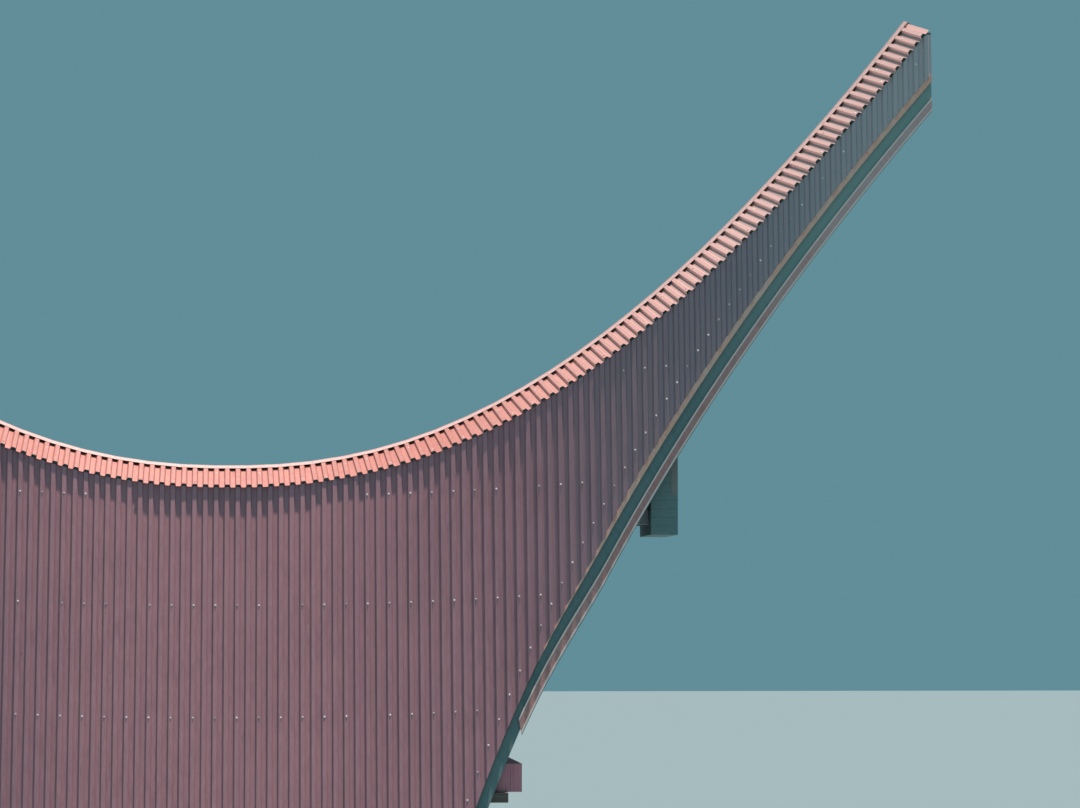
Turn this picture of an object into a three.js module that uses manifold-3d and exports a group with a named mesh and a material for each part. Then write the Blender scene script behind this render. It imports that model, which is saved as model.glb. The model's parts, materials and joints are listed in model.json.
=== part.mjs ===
// A tongkonan house: a boat-shaped sheet-metal roof on a raised timber house.
// Millimetres, Z up. X runs along the ridge, Y across the house, and the origin is on the
// ground under the middle of the ridge. The two halves mirror each other across X = 0 and Y = 0.
import * as THREE from 'three';
import { mergeVertices } from 'three/addons/utils/BufferGeometryUtils.js';
import Module from 'manifold-3d';

const wasm = await Module();
wasm.setup();

const GAP = 0.3;
// Clearance to the flat facets of a curved neighbour
const CURVE_GAP = 1;
const WELD = 1e-3;

// Heights above the ground
const RIDGE_MID = 11600;
const EAVE = 4500;
const EAVE_RISE = 0.25;
const PLATE_TOP = 5550;
const PLATE_DEPTH = 190;
const FLOOR_TOP = 2955;
const FLOOR_THICK = 55;
const CAP_BEAM_DEPTH = 220;

// Ridge line: in metres it rises square * x^2 + middle * x^2.5 + cube * x^3 at a distance x
// from the middle
const RIDGE_CURVE = { square: 0.00933, middle: 0.02608, cube: -0.004 };
// Raking edge of the roof sheets: in metres it stands reach + lean * z + curl * z^2 out at a height z
// over the middle of the ridge
const VERGE_CURVE = { reach: 7.755, lean: 0.6147, curl: 0.01714 };
const TIP = 13300;
// Distance between the sections of the roof, from the middle to the prow
const STATION_STEP = { body: 200, bend: 70, flank: 100, prow: 180 };
const BODY_STATIONS_END = 3900;
const BEND_END = 5800;
const FLANK_END = 8400;

// Roof build-up
// Run over rise of the steep slopes: they lean most in the middle and stand nearly upright at the
// prows, and at the reach, in metres, they are halfway between
const SLOPE_LEAN = { middle: 0.225, prow: 0.055, reach: 6.04 };
const SHEET_THICK = 45;
const LINING_THICK = 60;
const LINING_DROP = 60;
const RAKE_BOARD_THICK = 40;
const RAKE_TRIM_THICK = 30;
const LINING_EDGE = 95;
const LINING_EDGE_FOOT = 15;
const LINING_EDGE_FADE = { from: 5700, to: 7000 };
const RAKE_BOARD_WIDTH = 215;
const RAKE_BOARD_LAP = 80;
const RAKE_BOARD_FOOT = 4455;
const RAKE_BOARD_FOOT_DEPTH = 12;
const RAKE_TRIM_WIDTH = 160;
const RAKE_TRIM_LAP = 60;
const RAKE_TRIM_FOOT = 5285;

// Low-pitched course of sheets along the ridge
const COURSE_PITCH = THREE.MathUtils.degToRad(21.7);
const COURSE_WIDTH = 1050;
const COURSE_THICK = 42;
const COURSE_JOINT = 2;
const SLOPE_START = 930;
const STRIP_WIDTH = 95;
const STRIP_THICK = 10;
const RIDGE_BEAM_WIDTH = 160;
const RIDGE_BEAM_DEPTH = 330;

// House body
const BODY_LENGTH = 8000;
const BODY_WIDTH = 3500;
const WALL_THICK = 90;
const DECK_OVERHANG = 120;
const WINDOW = { width: 600, height: 700, sill: 3400 };
const DOOR = { width: 800, height: 1500, y: 700 };

// Gables and the panels that hang under the prows
const PLATE_REACH = 5170;
const PLATE_INNER = 1640;
const GABLE_SILL = { from: 4600, to: 5430, height: 520 };
const GABLE_WALL = { from: 4960, to: 5040, halfWidth: 1700 };
const GABLE_DECK_THICK = 50;
const HANGING_PANEL = { from: 7920, to: 8430, bottom: -1300, halfWidth: 920 };
const UPPER_BEAM = { bottom: -1100, depth: 280, inner: 440, outer: 580 };

// Substructure
const FRAME_COUNT = 5;
const FRAME_SPACING = 1850;
const POST = 260;
const POST_ROWS = [-1550, 0, 1550];
const PAD = { size: 460, height: 280 };
const CROSS_TIE = { bottom: 1120, depth: 180, thick: 100, reach: 1850 };
const LONG_TIE = { bottom: 1400, depth: 160, thick: 90, reach: 3950 };
const FLOOR_SILL = { width: 160, depth: 240 };
const FLOOR_SILL_ROWS = [-1650, 0, 1650];
const ROW_NAMES = ['front', 'middle', 'back'];

const material = (color, roughness, metalness = 0) => (
  new THREE.MeshStandardMaterial({ color, roughness, metalness })
);
const SHEET_PAINT = material('#7d5f69', 0.55, 0.3);
const COURSE_PAINT = material('#d98f86', 0.5, 0.3);
const STRIP_PAINT = material('#e6c9c6', 0.45, 0.4);
const LINING_WOOD = material('#8c7d6e', 0.8);
const DARK_BOARD = material('#1f3a3a', 0.6);
const RED_BOARD = material('#69555a', 0.6);
const FRAME_WOOD = material('#4a3a30', 0.8);
const PANEL_WOOD = material('#5a3a3c', 0.75);
const PILE_WOOD = material('#5b4a3c', 0.85);

const house = new THREE.Group();

function addMesh(name, geometry, finish) {
  const mesh = new THREE.Mesh(geometry, finish);
  mesh.name = name;
  house.add(mesh);
  return mesh;
}

// Curves

function ridgeHeight(x) {
  const away = Math.abs(x) / 1000;
  const { square, middle, cube } = RIDGE_CURVE;
  return RIDGE_MID + 1000 * (square * away ** 2 + middle * away ** 2.5 + cube * away ** 3);
}

const ridgeAngle = (x) => Math.atan((ridgeHeight(x + 1) - ridgeHeight(x - 1)) / 2);

// Height of the raking edge at a reach, and its angle there
const vergeTurn = (reach) => {
  const { reach: start, lean, curl } = VERGE_CURVE;
  return Math.sqrt(lean ** 2 - 4 * curl * (start - reach / 1000));
};
const vergeHeight = (reach) => {
  const above = (vergeTurn(reach) - VERGE_CURVE.lean) / (2 * VERGE_CURVE.curl);
  return RIDGE_MID + 1000 * above;
};
const vergeReach = (z) => {
  const above = (z - RIDGE_MID) / 1000;
  return 1000 * (VERGE_CURVE.reach + VERGE_CURVE.lean * above + VERGE_CURVE.curl * above ** 2);
};
const EAVE_CORNER = vergeReach(EAVE);
const vergeAngle = (x) => Math.atan(1 / vergeTurn(Math.max(Math.abs(x), EAVE_CORNER)));

function lowerEdge(x) {
  if (Math.abs(x) > EAVE_CORNER) return vergeHeight(Math.abs(x));
  return EAVE + EAVE_RISE * (ridgeHeight(x) - ridgeHeight(EAVE_CORNER));
}

// The steep slope: its lean, and the sheets' outer face as distance from the middle plane
function slopeLean(x) {
  const { middle, prow, reach } = SLOPE_LEAN;
  return prow + (middle - prow) / (1 + (Math.abs(x) / 1000 / reach) ** 3);
}

const courseDepth = (y) => y * Math.tan(COURSE_PITCH);
const courseUnder = (y) => courseDepth(y) + COURSE_THICK / Math.cos(COURSE_PITCH);
const slopeFace = (x, z) =>
  SLOPE_START + (ridgeHeight(x) - courseUnder(SLOPE_START) - z) * slopeLean(x);
const liningInner = (x, z) => slopeFace(x, z) - SHEET_THICK - LINING_THICK - GAP;

// A point at a depth square below the ridge line
function belowRidge(x, depth) {
  const angle = ridgeAngle(x);
  return { x: x + Math.sin(angle) * depth, z: ridgeHeight(x) - Math.cos(angle) * depth };
}

// The place on the ridge line whose square section passes the slope's head at x,
// found by stepping towards it
function slopeHead(x) {
  const steps = 40;
  let foot = x;
  let point = { x, z: ridgeHeight(x) };
  for (let step = 0; step < steps; step += 1) {
    const face = slopeFace(x, point.z);
    point = belowRidge(foot, courseUnder(face) + GAP);
    foot += x - point.x;
  }
  return { foot, z: point.z };
}

function stretchOut(from, to, step) {
  const places = [];
  for (let x = from; x < to - step / 2; x += step) places.push(x);
  return places;
}

const stationSteps = [
  ...stretchOut(0, BODY_STATIONS_END, STATION_STEP.body),
  BODY_STATIONS_END,
  ...stretchOut(EAVE_CORNER, BEND_END, STATION_STEP.bend),
  ...stretchOut(BEND_END, FLANK_END, STATION_STEP.flank),
  ...stretchOut(FLANK_END, TIP, STATION_STEP.prow),
  TIP,
];
const stations = [...stationSteps.slice(1).reverse().map((x) => -x), ...stationSteps];
const heads = stations.map(slopeHead);

// Solids

// A skin over sections. Each of its faces is split from the higher corner of one section to the
// lower corner of the next, so that the layers of the twisted slopes lie flat on each other.
function loft(sections) {
  const count = sections[0].length;
  const corners = sections.flat();
  const positions = corners.flatMap((p) => [p.x, p.y, p.z]);
  const index = [];
  for (let s = 0; s + 1 < sections.length; s += 1) {
    for (let k = 0; k < count; k += 1) {
      const a = s * count + k;
      const b = s * count + ((k + 1) % count);
      if (corners[a].z >= corners[b].z) index.push(a, b, b + count, a, b + count, a + count);
      else index.push(a, b, a + count, b, b + count, a + count);
    }
  }
  const last = (sections.length - 1) * count;
  for (let k = 1; k + 1 < count; k += 1) {
    index.push(0, k + 1, k);
    index.push(last, last + k, last + k + 1);
  }
  const geometry = new THREE.BufferGeometry();
  geometry.setAttribute('position', new THREE.Float32BufferAttribute(positions, 3));
  geometry.setIndex(index);
  if (volume(geometry) < 0) flip(geometry);
  geometry.computeVertexNormals();
  return geometry;
}

function volume(geometry) {
  const place = geometry.getAttribute('position');
  const index = geometry.getIndex();
  const corners = [new THREE.Vector3(), new THREE.Vector3(), new THREE.Vector3()];
  let total = 0;
  for (let t = 0; t < index.count; t += 3) {
    corners.forEach((corner, k) => corner.fromBufferAttribute(place, index.getX(t + k)));
    total += corners[0].dot(corners[1].clone().cross(corners[2])) / 6;
  }
  return total;
}

function flip(geometry) {
  const index = geometry.getIndex();
  for (let t = 0; t < index.count; t += 3) {
    const second = index.getX(t + 1);
    index.setX(t + 1, index.getX(t + 2));
    index.setX(t + 2, second);
  }
}

function box(x0, x1, y0, y1, z0, z1) {
  const geometry = new THREE.BoxGeometry(x1 - x0, y1 - y0, z1 - z0);
  geometry.translate((x0 + x1) / 2, (y0 + y1) / 2, (z0 + z1) / 2);
  return geometry;
}

// A plate standing across X: outline points are (y, z)
function crossPlate(outline, x0, x1) {
  const shape = new THREE.Shape(outline.map(([y, z]) => new THREE.Vector2(y, z)));
  const geometry = new THREE.ExtrudeGeometry(shape, { depth: x1 - x0, bevelEnabled: false });
  const turn = new THREE.Matrix4().set(0, 0, 1, x0, 1, 0, 0, 0, 0, 1, 0, 0, 0, 0, 0, 1);
  geometry.applyMatrix4(turn);
  return geometry;
}

function toSolid(geometry) {
  const bare = geometry.clone();
  bare.deleteAttribute('normal');
  bare.deleteAttribute('uv');
  const merged = mergeVertices(bare, WELD);
  return new wasm.Manifold(new wasm.Mesh({
    numProp: 3,
    vertProperties: new Float32Array(merged.getAttribute('position').array),
    triVerts: new Uint32Array(merged.getIndex().array),
  }));
}

function fromSolid(solid) {
  const mesh = solid.getMesh();
  const geometry = new THREE.BufferGeometry();
  geometry.setAttribute('position', new THREE.Float32BufferAttribute(mesh.vertProperties, 3));
  geometry.setIndex([...mesh.triVerts]);
  geometry.computeVertexNormals();
  return geometry;
}

const join = (pieces) => pieces.map(toSolid).reduce((sum, piece) => sum.add(piece));

function cut(geometry, tools) {
  const whole = toSolid(geometry);
  return fromSolid(tools.reduce((rest, tool) => rest.subtract(toSolid(tool)), whole));
}

const inOrder = (a, b) => (a < b ? [a, b] : [b, a]);

// Roof skin and its lining, one of each on both sides of the ridge
// side is -1 for the front (towards -Y) and 1 for the back

// A layer of the slope. Its rows give the heights of its upper edge, a line between, and its
// lower edge. Two layers share the two rows where they lie on each other.
function slopeLayer(side, outset, thick, rows) {
  return loft(stations.map((x, i) => {
    const [upper, middle, lower] = rows(x, heads[i].z, lowerEdge(x));
    const corner = (z, inset) => new THREE.Vector3(x, side * (slopeFace(x, z) - outset - inset), z);
    return [
      corner(middle, 0),
      corner(lower, 0),
      corner(lower, thick),
      corner(middle, thick),
      corner(upper, thick),
      corner(upper, 0),
    ];
  }));
}

function liningEdge(x) {
  const rise = THREE.MathUtils.smoothstep(Math.abs(x), LINING_EDGE_FADE.from, LINING_EDGE_FADE.to);
  return (LINING_EDGE_FOOT + (LINING_EDGE - LINING_EDGE_FOOT) * rise) / Math.cos(vergeAngle(x));
}

// A board along the raking edge. Square to that edge, it runs from `above` over the lining's
// foot to `below` under it.
function rakeLayer(side, end, outset, thick, above, below, start) {
  return loft(stationSteps.filter((x) => x >= start).map((step) => {
    const x = end * step;
    const stretch = 1 / Math.cos(vergeAngle(x));
    const edge = lowerEdge(x) - liningEdge(x);
    const upper = Math.max(edge + above * stretch, RAKE_BOARD_FOOT + RAKE_BOARD_FOOT_DEPTH);
    const lower = Math.max(edge - below * stretch, RAKE_BOARD_FOOT);
    const corner = (z, inset) => new THREE.Vector3(x, side * (slopeFace(x, z) - outset - inset), z);
    return [corner(upper, 0), corner(lower, 0), corner(lower, thick), corner(upper, thick)];
  }));
}

const sides = [['front', -1], ['back', 1]];
const ends = [['left', -1], ['right', 1]];
const boardOutset = SHEET_THICK + LINING_THICK + 2 * GAP;
const trimOutset = boardOutset + RAKE_BOARD_THICK + GAP;

for (const [sideName, side] of sides) {
  const sheetRows = (x, head, foot) => [head, head - LINING_DROP, foot];
  addMesh(`roof_${sideName}`, slopeLayer(side, 0, SHEET_THICK, sheetRows), SHEET_PAINT);
  const liningRows = (x, head, foot) => [head - LINING_DROP, foot, foot - liningEdge(x)];
  const lining = slopeLayer(side, SHEET_THICK + GAP, LINING_THICK, liningRows);
  addMesh(`lining_${sideName}`, lining, LINING_WOOD);
  for (const [endName, end] of ends) {
    const board = rakeLayer(
      side,
      end,
      boardOutset,
      RAKE_BOARD_THICK,
      RAKE_BOARD_LAP,
      RAKE_BOARD_WIDTH,
      EAVE_CORNER,
    );
    addMesh(`rake_board_${sideName}_${endName}`, board, DARK_BOARD);
    const trim = rakeLayer(
      side,
      end,
      trimOutset,
      RAKE_TRIM_THICK,
      RAKE_TRIM_LAP - RAKE_BOARD_WIDTH,
      RAKE_BOARD_WIDTH + RAKE_TRIM_WIDTH,
      RAKE_TRIM_FOOT,
    );
    addMesh(`rake_trim_${sideName}_${endName}`, trim, RED_BOARD);
  }
}

// Ridge course, ridge strip and ridge beam, lofted over sections square to the ridge line

function ridgeLoft(section) {
  return loft(heads.map(({ foot }) => section.map(([y, depth]) => {
    const point = belowRidge(foot, depth);
    return new THREE.Vector3(point.x, y, point.z);
  })));
}

const courseEdge = COURSE_WIDTH * Math.cos(COURSE_PITCH);
for (const [sideName, side] of sides) {
  const course = ridgeLoft([
    [side * COURSE_JOINT, courseDepth(COURSE_JOINT)],
    [side * courseEdge, courseDepth(courseEdge)],
    [side * courseEdge, courseUnder(courseEdge)],
    [side * COURSE_JOINT, courseUnder(COURSE_JOINT)],
  ]);
  addMesh(`ridge_course_${sideName}`, course, COURSE_PAINT);
}

const stripEdge = STRIP_WIDTH * Math.cos(COURSE_PITCH);
const stripRise = STRIP_THICK / Math.cos(COURSE_PITCH) + GAP;
const strip = ridgeLoft([
  [0, -GAP],
  [-stripEdge, courseDepth(stripEdge) - GAP],
  [-stripEdge, courseDepth(stripEdge) - stripRise],
  [0, -stripRise],
  [stripEdge, courseDepth(stripEdge) - stripRise],
  [stripEdge, courseDepth(stripEdge) - GAP],
]);
addMesh('ridge_strip', strip, STRIP_PAINT);

const beamHalf = RIDGE_BEAM_WIDTH / 2;
const ridgeBeam = ridgeLoft([
  [0, courseUnder(0) + GAP],
  [beamHalf, courseUnder(beamHalf) + GAP],
  [beamHalf, RIDGE_BEAM_DEPTH],
  [-beamHalf, RIDGE_BEAM_DEPTH],
  [-beamHalf, courseUnder(beamHalf) + GAP],
]);
addMesh('ridge_beam', ridgeBeam, FRAME_WOOD);

// Distance from the middle plane at which the ridge course passes the level of the beam's foot
const levelReach = (RIDGE_BEAM_DEPTH - courseUnder(0)) / Math.tan(COURSE_PITCH);

// The lowest height of the ridge beam over a stretch that starts at x, nearer the middle
function beamUnder(x) {
  return ridgeHeight(x) - (RIDGE_BEAM_DEPTH + CURVE_GAP) / Math.cos(ridgeAngle(x));
}

// Wall plates, gable floors, gable walls and hanging panels

const plateBottom = PLATE_TOP - PLATE_DEPTH;
// The plates pass inside the boards of the raking edges
const plateOuter = slopeFace(PLATE_REACH, PLATE_TOP) - boardOutset - RAKE_BOARD_THICK - GAP;
const bodyHalf = BODY_WIDTH / 2;
const endHalf = BODY_LENGTH / 2;

const beamBottom = RIDGE_MID + UPPER_BEAM.bottom;
const beamTop = beamBottom + UPPER_BEAM.depth;

for (const [sideName, side] of sides) {
  const plateSpan = inOrder(side * PLATE_INNER, side * plateOuter);
  const plate = box(-PLATE_REACH, PLATE_REACH, ...plateSpan, plateBottom, PLATE_TOP);
  addMesh(`wall_plate_${sideName}`, plate, FRAME_WOOD);
  const beamSpan = inOrder(side * UPPER_BEAM.inner, side * UPPER_BEAM.outer);
  const reach = HANGING_PANEL.from - GAP;
  addMesh(`upper_beam_${sideName}`, box(-reach, reach, ...beamSpan, beamBottom, beamTop), FRAME_WOOD);
}

// A plate between the linings, as wide as they allow at both of its faces. Its foot is held to
// the half width, and its top passes under the ridge course and the ridge beam.
function gableOutline({ from, to, halfWidth }, bottom) {
  const head = slopeHead(from).z;
  const top = beamUnder(from) - GAP;
  const wide = (z) => Math.min(liningInner(from, z), liningInner(to, z)) - CURVE_GAP;
  const narrowing = (wide(bottom) - wide(head)) / (head - bottom);
  const shoulder = bottom + Math.max(0, wide(bottom) - halfWidth) / narrowing;
  const right = [[halfWidth, bottom], [halfWidth, shoulder], [wide(head), head], [levelReach, top]];
  const left = right.map(([y, z]) => [-y, z]).reverse();
  return [...right, ...left];
}

function beamHole(side) {
  const span = inOrder(side * (UPPER_BEAM.inner - GAP), side * (UPPER_BEAM.outer + GAP));
  return box(-TIP, TIP, ...span, beamBottom - GAP, beamTop + GAP);
}

for (const [endName, end] of ends) {
  const along = (from, to) => inOrder(end * from, end * to);
  const sillBottom = PLATE_TOP + GAP;
  const sillTop = sillBottom + GABLE_SILL.height;
  const sill = box(...along(GABLE_SILL.from, GABLE_SILL.to), -bodyHalf, bodyHalf, sillBottom, sillTop);
  addMesh(`gable_sill_${endName}`, sill, PANEL_WOOD);
  const deckSpan = along(endHalf - WALL_THICK, GABLE_SILL.from - GAP);
  const deck = box(...deckSpan, -bodyHalf, bodyHalf, sillBottom, sillBottom + GABLE_DECK_THICK);
  addMesh(`gable_deck_${endName}`, deck, FRAME_WOOD);
  const outline = gableOutline(GABLE_WALL, sillTop + GAP);
  const wall = crossPlate(outline, ...along(GABLE_WALL.from, GABLE_WALL.to));
  addMesh(`gable_wall_${endName}`, cut(wall, [beamHole(-1), beamHole(1)]), PANEL_WOOD);
  const panelFoot = RIDGE_MID + HANGING_PANEL.bottom;
  const panelOutline = gableOutline(HANGING_PANEL, panelFoot);
  const panel = crossPlate(panelOutline, ...along(HANGING_PANEL.from, HANGING_PANEL.to));
  addMesh(`hanging_panel_${endName}`, panel, DARK_BOARD);
}

// House body

const wallFoot = FLOOR_TOP + GAP;
const sideTop = plateBottom - GAP;
const windowTop = WINDOW.sill + WINDOW.height;
const windowHalf = WINDOW.width / 2;

function sideWindow(x) {
  return box(x - windowHalf, x + windowHalf, -BODY_WIDTH, BODY_WIDTH, WINDOW.sill, windowTop);
}

function endWindow(y) {
  return box(-BODY_LENGTH, BODY_LENGTH, y - windowHalf, y + windowHalf, WINDOW.sill, windowTop);
}

for (const [sideName, side] of sides) {
  const reach = endHalf - WALL_THICK - GAP;
  const span = inOrder(side * bodyHalf, side * (bodyHalf - WALL_THICK));
  const wall = box(-reach, reach, ...span, wallFoot, sideTop);
  const windows = [sideWindow(-FRAME_SPACING), sideWindow(FRAME_SPACING)];
  addMesh(`side_wall_${sideName}`, cut(wall, windows), PANEL_WOOD);
}

function endWallOutline(doorway) {
  const notch = PLATE_INNER - GAP;
  const top = PLATE_TOP - GAP;
  const near = DOOR.y - DOOR.width / 2;
  const far = DOOR.y + DOOR.width / 2;
  const lintel = wallFoot + DOOR.height;
  const doorEdge = [[near, wallFoot], [near, lintel], [far, lintel], [far, wallFoot]];
  return [
    [-bodyHalf, wallFoot],
    ...(doorway ? doorEdge : []),
    [bodyHalf, wallFoot],
    [bodyHalf, sideTop],
    [notch, sideTop],
    [notch, top],
    [-notch, top],
    [-notch, sideTop],
    [-bodyHalf, sideTop],
  ];
}

const doorWall = crossPlate(endWallOutline(true), endHalf - WALL_THICK, endHalf);
const blankWall = crossPlate(endWallOutline(false), -endHalf, WALL_THICK - endHalf);
addMesh('end_wall_right', cut(doorWall, [endWindow(-DOOR.y)]), PANEL_WOOD);
addMesh('end_wall_left', cut(blankWall, [endWindow(0)]), PANEL_WOOD);

const deckHalfLength = endHalf + DECK_OVERHANG;
const deckHalfWidth = bodyHalf + DECK_OVERHANG;
const floorFoot = FLOOR_TOP - FLOOR_THICK;
const deckSpans = [-deckHalfLength, deckHalfLength, -deckHalfWidth, deckHalfWidth];
addMesh('floor', box(...deckSpans, floorFoot, FLOOR_TOP), FRAME_WOOD);

// Long sills on the pile frames

const floorSillTop = floorFoot - GAP;
const floorSillFoot = floorSillTop - FLOOR_SILL.depth;
FLOOR_SILL_ROWS.forEach((y, row) => {
  const half = FLOOR_SILL.width / 2;
  const sill = box(-deckHalfLength, deckHalfLength, y - half, y + half, floorSillFoot, floorSillTop);
  addMesh(`floor_sill_${ROW_NAMES[row]}`, sill, FRAME_WOOD);
});

// Pile frames: three posts on stone pads, a cap beam and a cross tie, slotted for the long ties

const capTop = floorSillFoot - GAP;
const capFoot = capTop - CAP_BEAM_DEPTH;
const longTieTop = LONG_TIE.bottom + LONG_TIE.depth;
for (let n = 0; n < FRAME_COUNT; n += 1) {
  const x = (n - (FRAME_COUNT - 1) / 2) * FRAME_SPACING;
  const around = (size) => [x - size / 2, x + size / 2];
  const across = [-CROSS_TIE.reach, CROSS_TIE.reach];
  const crossTieTop = CROSS_TIE.bottom + CROSS_TIE.depth;
  const pieces = [
    box(...around(POST), ...across, capFoot, capTop),
    box(...around(CROSS_TIE.thick), ...across, CROSS_TIE.bottom, crossTieTop),
  ];
  for (const y of POST_ROWS) {
    pieces.push(box(...around(POST), y - POST / 2, y + POST / 2, 0, capTop));
    pieces.push(box(...around(PAD.size), y - PAD.size / 2, y + PAD.size / 2, 0, PAD.height));
  }
  let frame = join(pieces);
  for (const y of POST_ROWS) {
    const half = LONG_TIE.thick / 2 + GAP;
    const slot = box(...around(PAD.size), y - half, y + half, LONG_TIE.bottom - GAP, longTieTop + GAP);
    frame = frame.subtract(toSolid(slot));
  }
  addMesh(`pile_frame_${n + 1}`, fromSolid(frame), PILE_WOOD);
}

POST_ROWS.forEach((y, row) => {
  const half = LONG_TIE.thick / 2;
  const tie = box(-LONG_TIE.reach, LONG_TIE.reach, y - half, y + half, LONG_TIE.bottom, longTieTop);
  addMesh(`pile_tie_${ROW_NAMES[row]}`, tie, PILE_WOOD);
});

export default house;
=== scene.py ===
import json
import math
import random
import bpy
import bmesh
from mathutils import Matrix, Vector, noise

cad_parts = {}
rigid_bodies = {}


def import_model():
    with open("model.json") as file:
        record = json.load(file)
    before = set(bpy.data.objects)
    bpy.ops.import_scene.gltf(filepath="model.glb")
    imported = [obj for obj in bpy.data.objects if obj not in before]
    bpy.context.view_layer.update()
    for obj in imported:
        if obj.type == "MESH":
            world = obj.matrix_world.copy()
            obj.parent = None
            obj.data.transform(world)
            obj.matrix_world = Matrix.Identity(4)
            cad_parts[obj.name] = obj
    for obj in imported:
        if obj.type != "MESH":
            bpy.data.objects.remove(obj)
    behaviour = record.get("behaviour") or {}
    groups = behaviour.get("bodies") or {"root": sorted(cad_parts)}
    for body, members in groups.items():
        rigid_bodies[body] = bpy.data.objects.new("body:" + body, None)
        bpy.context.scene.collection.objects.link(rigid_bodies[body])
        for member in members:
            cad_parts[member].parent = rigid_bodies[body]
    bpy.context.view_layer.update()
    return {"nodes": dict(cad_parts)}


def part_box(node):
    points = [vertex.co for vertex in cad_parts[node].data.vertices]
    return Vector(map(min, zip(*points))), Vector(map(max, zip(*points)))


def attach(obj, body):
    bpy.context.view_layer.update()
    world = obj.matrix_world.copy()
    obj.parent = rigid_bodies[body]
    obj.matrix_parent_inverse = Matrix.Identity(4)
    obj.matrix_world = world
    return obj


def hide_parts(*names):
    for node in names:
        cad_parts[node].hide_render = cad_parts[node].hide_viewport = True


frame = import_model()

# The camera stands 68 m in front of the ridge, about 4 m above the eaves, with a long lens.
# It is turned a few degrees towards the right prow and tipped up slightly.
CAMERA_PLACE = (0.15, -68.0, 8.611)
CAMERA_TURN = 4.843
CAMERA_TIP = 3.513
LENS_MM = 120
SENSOR_MM = 36
CLIP_END = 600

camera_data = bpy.data.cameras.new("camera")
camera_data.lens = LENS_MM
camera_data.sensor_width = SENSOR_MM
camera_data.clip_end = CLIP_END
camera = bpy.data.objects.new("camera", camera_data)
camera.location = CAMERA_PLACE
camera.rotation_euler = (math.radians(90 + CAMERA_TIP), 0, math.radians(-CAMERA_TURN))
bpy.context.scene.collection.objects.link(camera)
bpy.context.scene.camera = camera

# Studio light: a warm key from high above, a little behind the ridge and to the right, and an
# even cool fill. The floor is a plain blue-grey sheet that reaches to the horizon.
KEY_TIP = -3.7
KEY_ROLL = 5.7
KEY_STRENGTH = 6.2
KEY_SOFTNESS = 1.5
KEY_COLOUR = (1.0, 0.82, 0.76)
FILL_COLOUR = (0.38, 0.84, 1.0, 1)
FILL_STRENGTH = 0.32
FLOOR_COLOUR = (0.165, 0.25, 0.27, 1)
FLOOR_REACH = 400

bpy.context.scene.view_settings.view_transform = "Standard"
key_data = bpy.data.lights.new("key", "SUN")
key_data.energy = KEY_STRENGTH
key_data.angle = math.radians(KEY_SOFTNESS)
key_data.color = KEY_COLOUR
key = bpy.data.objects.new("key", key_data)
key.rotation_euler = (math.radians(KEY_TIP), math.radians(KEY_ROLL), 0)
bpy.context.scene.collection.objects.link(key)

studio = bpy.data.worlds.new("studio")
studio.use_nodes = True
fill = studio.node_tree.nodes["Background"].inputs
fill["Color"].default_value = FILL_COLOUR
fill["Strength"].default_value = FILL_STRENGTH
bpy.context.scene.world = studio


def new_finish(name, colour, roughness, metallic=0.0):
    """A material of one colour and its tree, ready for the nodes that paint over it."""
    finish = bpy.data.materials.new(name)
    finish.use_nodes = True
    inputs = finish.node_tree.nodes["Principled BSDF"].inputs
    inputs["Base Color"].default_value = colour
    inputs["Roughness"].default_value = roughness
    inputs["Metallic"].default_value = metallic
    return finish, finish.node_tree


def as_object(shape, name, *finishes):
    """Makes an object of a bmesh and gives it its finishes."""
    mesh = bpy.data.meshes.new(name)
    shape.to_mesh(mesh)
    shape.free()
    for finish in finishes:
        mesh.materials.append(finish)
    made = bpy.data.objects.new(name, mesh)
    bpy.context.scene.collection.objects.link(made)
    return made


floor_shape = bmesh.new()
bmesh.ops.create_grid(floor_shape, x_segments=1, y_segments=1, size=FLOOR_REACH)
floor_finish, tree = new_finish("studio_floor", FLOOR_COLOUR, roughness=0.9)
as_object(floor_shape, "studio_floor", floor_finish)


# Stone pads: fifteen blocks of grey field stone, split and roughly dressed by hand.
# Each stands on the ground and carries one post.
FRAMES = range(1, 6)
POST_ROWS = {"front": -1.55, "middle": 0.0, "back": 1.55}
PAD_HALF = 0.23
PAD_HEIGHT = 0.28
PAD_EDGE = 0.035
PAD_CUTS = 5
PAD_DENT = 0.022
DENTS_A_METRE = 7
HAIR = 0.001
STONE_DARK = (0.20, 0.19, 0.17, 1)
STONE_PALE = (0.42, 0.40, 0.36, 1)


def add_node(tree, kind, inputs, **settings):
    """A shader node with its settings, and its inputs linked or filled."""
    node = tree.nodes.new(kind)
    for setting, value in settings.items():
        setattr(node, setting, value)
    for socket, value in inputs.items():
        if isinstance(value, bpy.types.NodeSocket):
            tree.links.new(value, node.inputs[socket])
        else:
            node.inputs[socket].default_value = value
    return node


def object_place(tree, turn=(0, 0, 0)):
    """Object coordinates, turned by a Mapping node."""
    place = add_node(tree, "ShaderNodeTexCoord", {}).outputs["Object"]
    mapping = add_node(tree, "ShaderNodeMapping", {"Vector": place, "Rotation": turn})
    return mapping.outputs["Vector"]


def clouds(tree, place, scale, detail, roughness=0.5, distortion=0.0):
    """Soft patches of low and high values."""
    return add_node(tree, "ShaderNodeTexNoise", {
        "Vector": place, "Scale": scale, "Detail": detail, "Roughness": roughness,
        "Distortion": distortion,
    }).outputs["Fac"]


def spread(tree, value, start=0.0, stop=1.0, low=0.0, high=1.0):
    """A value carried over from one span to another."""
    return add_node(tree, "ShaderNodeMapRange", {
        "Value": value, "From Min": start, "From Max": stop, "To Min": low, "To Max": high,
    }).outputs["Result"]


def feed(finish, socket, source):
    """Links a value to a socket of a finish's shader."""
    tree = finish.node_tree
    tree.links.new(source, tree.nodes["Principled BSDF"].inputs[socket])


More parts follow.
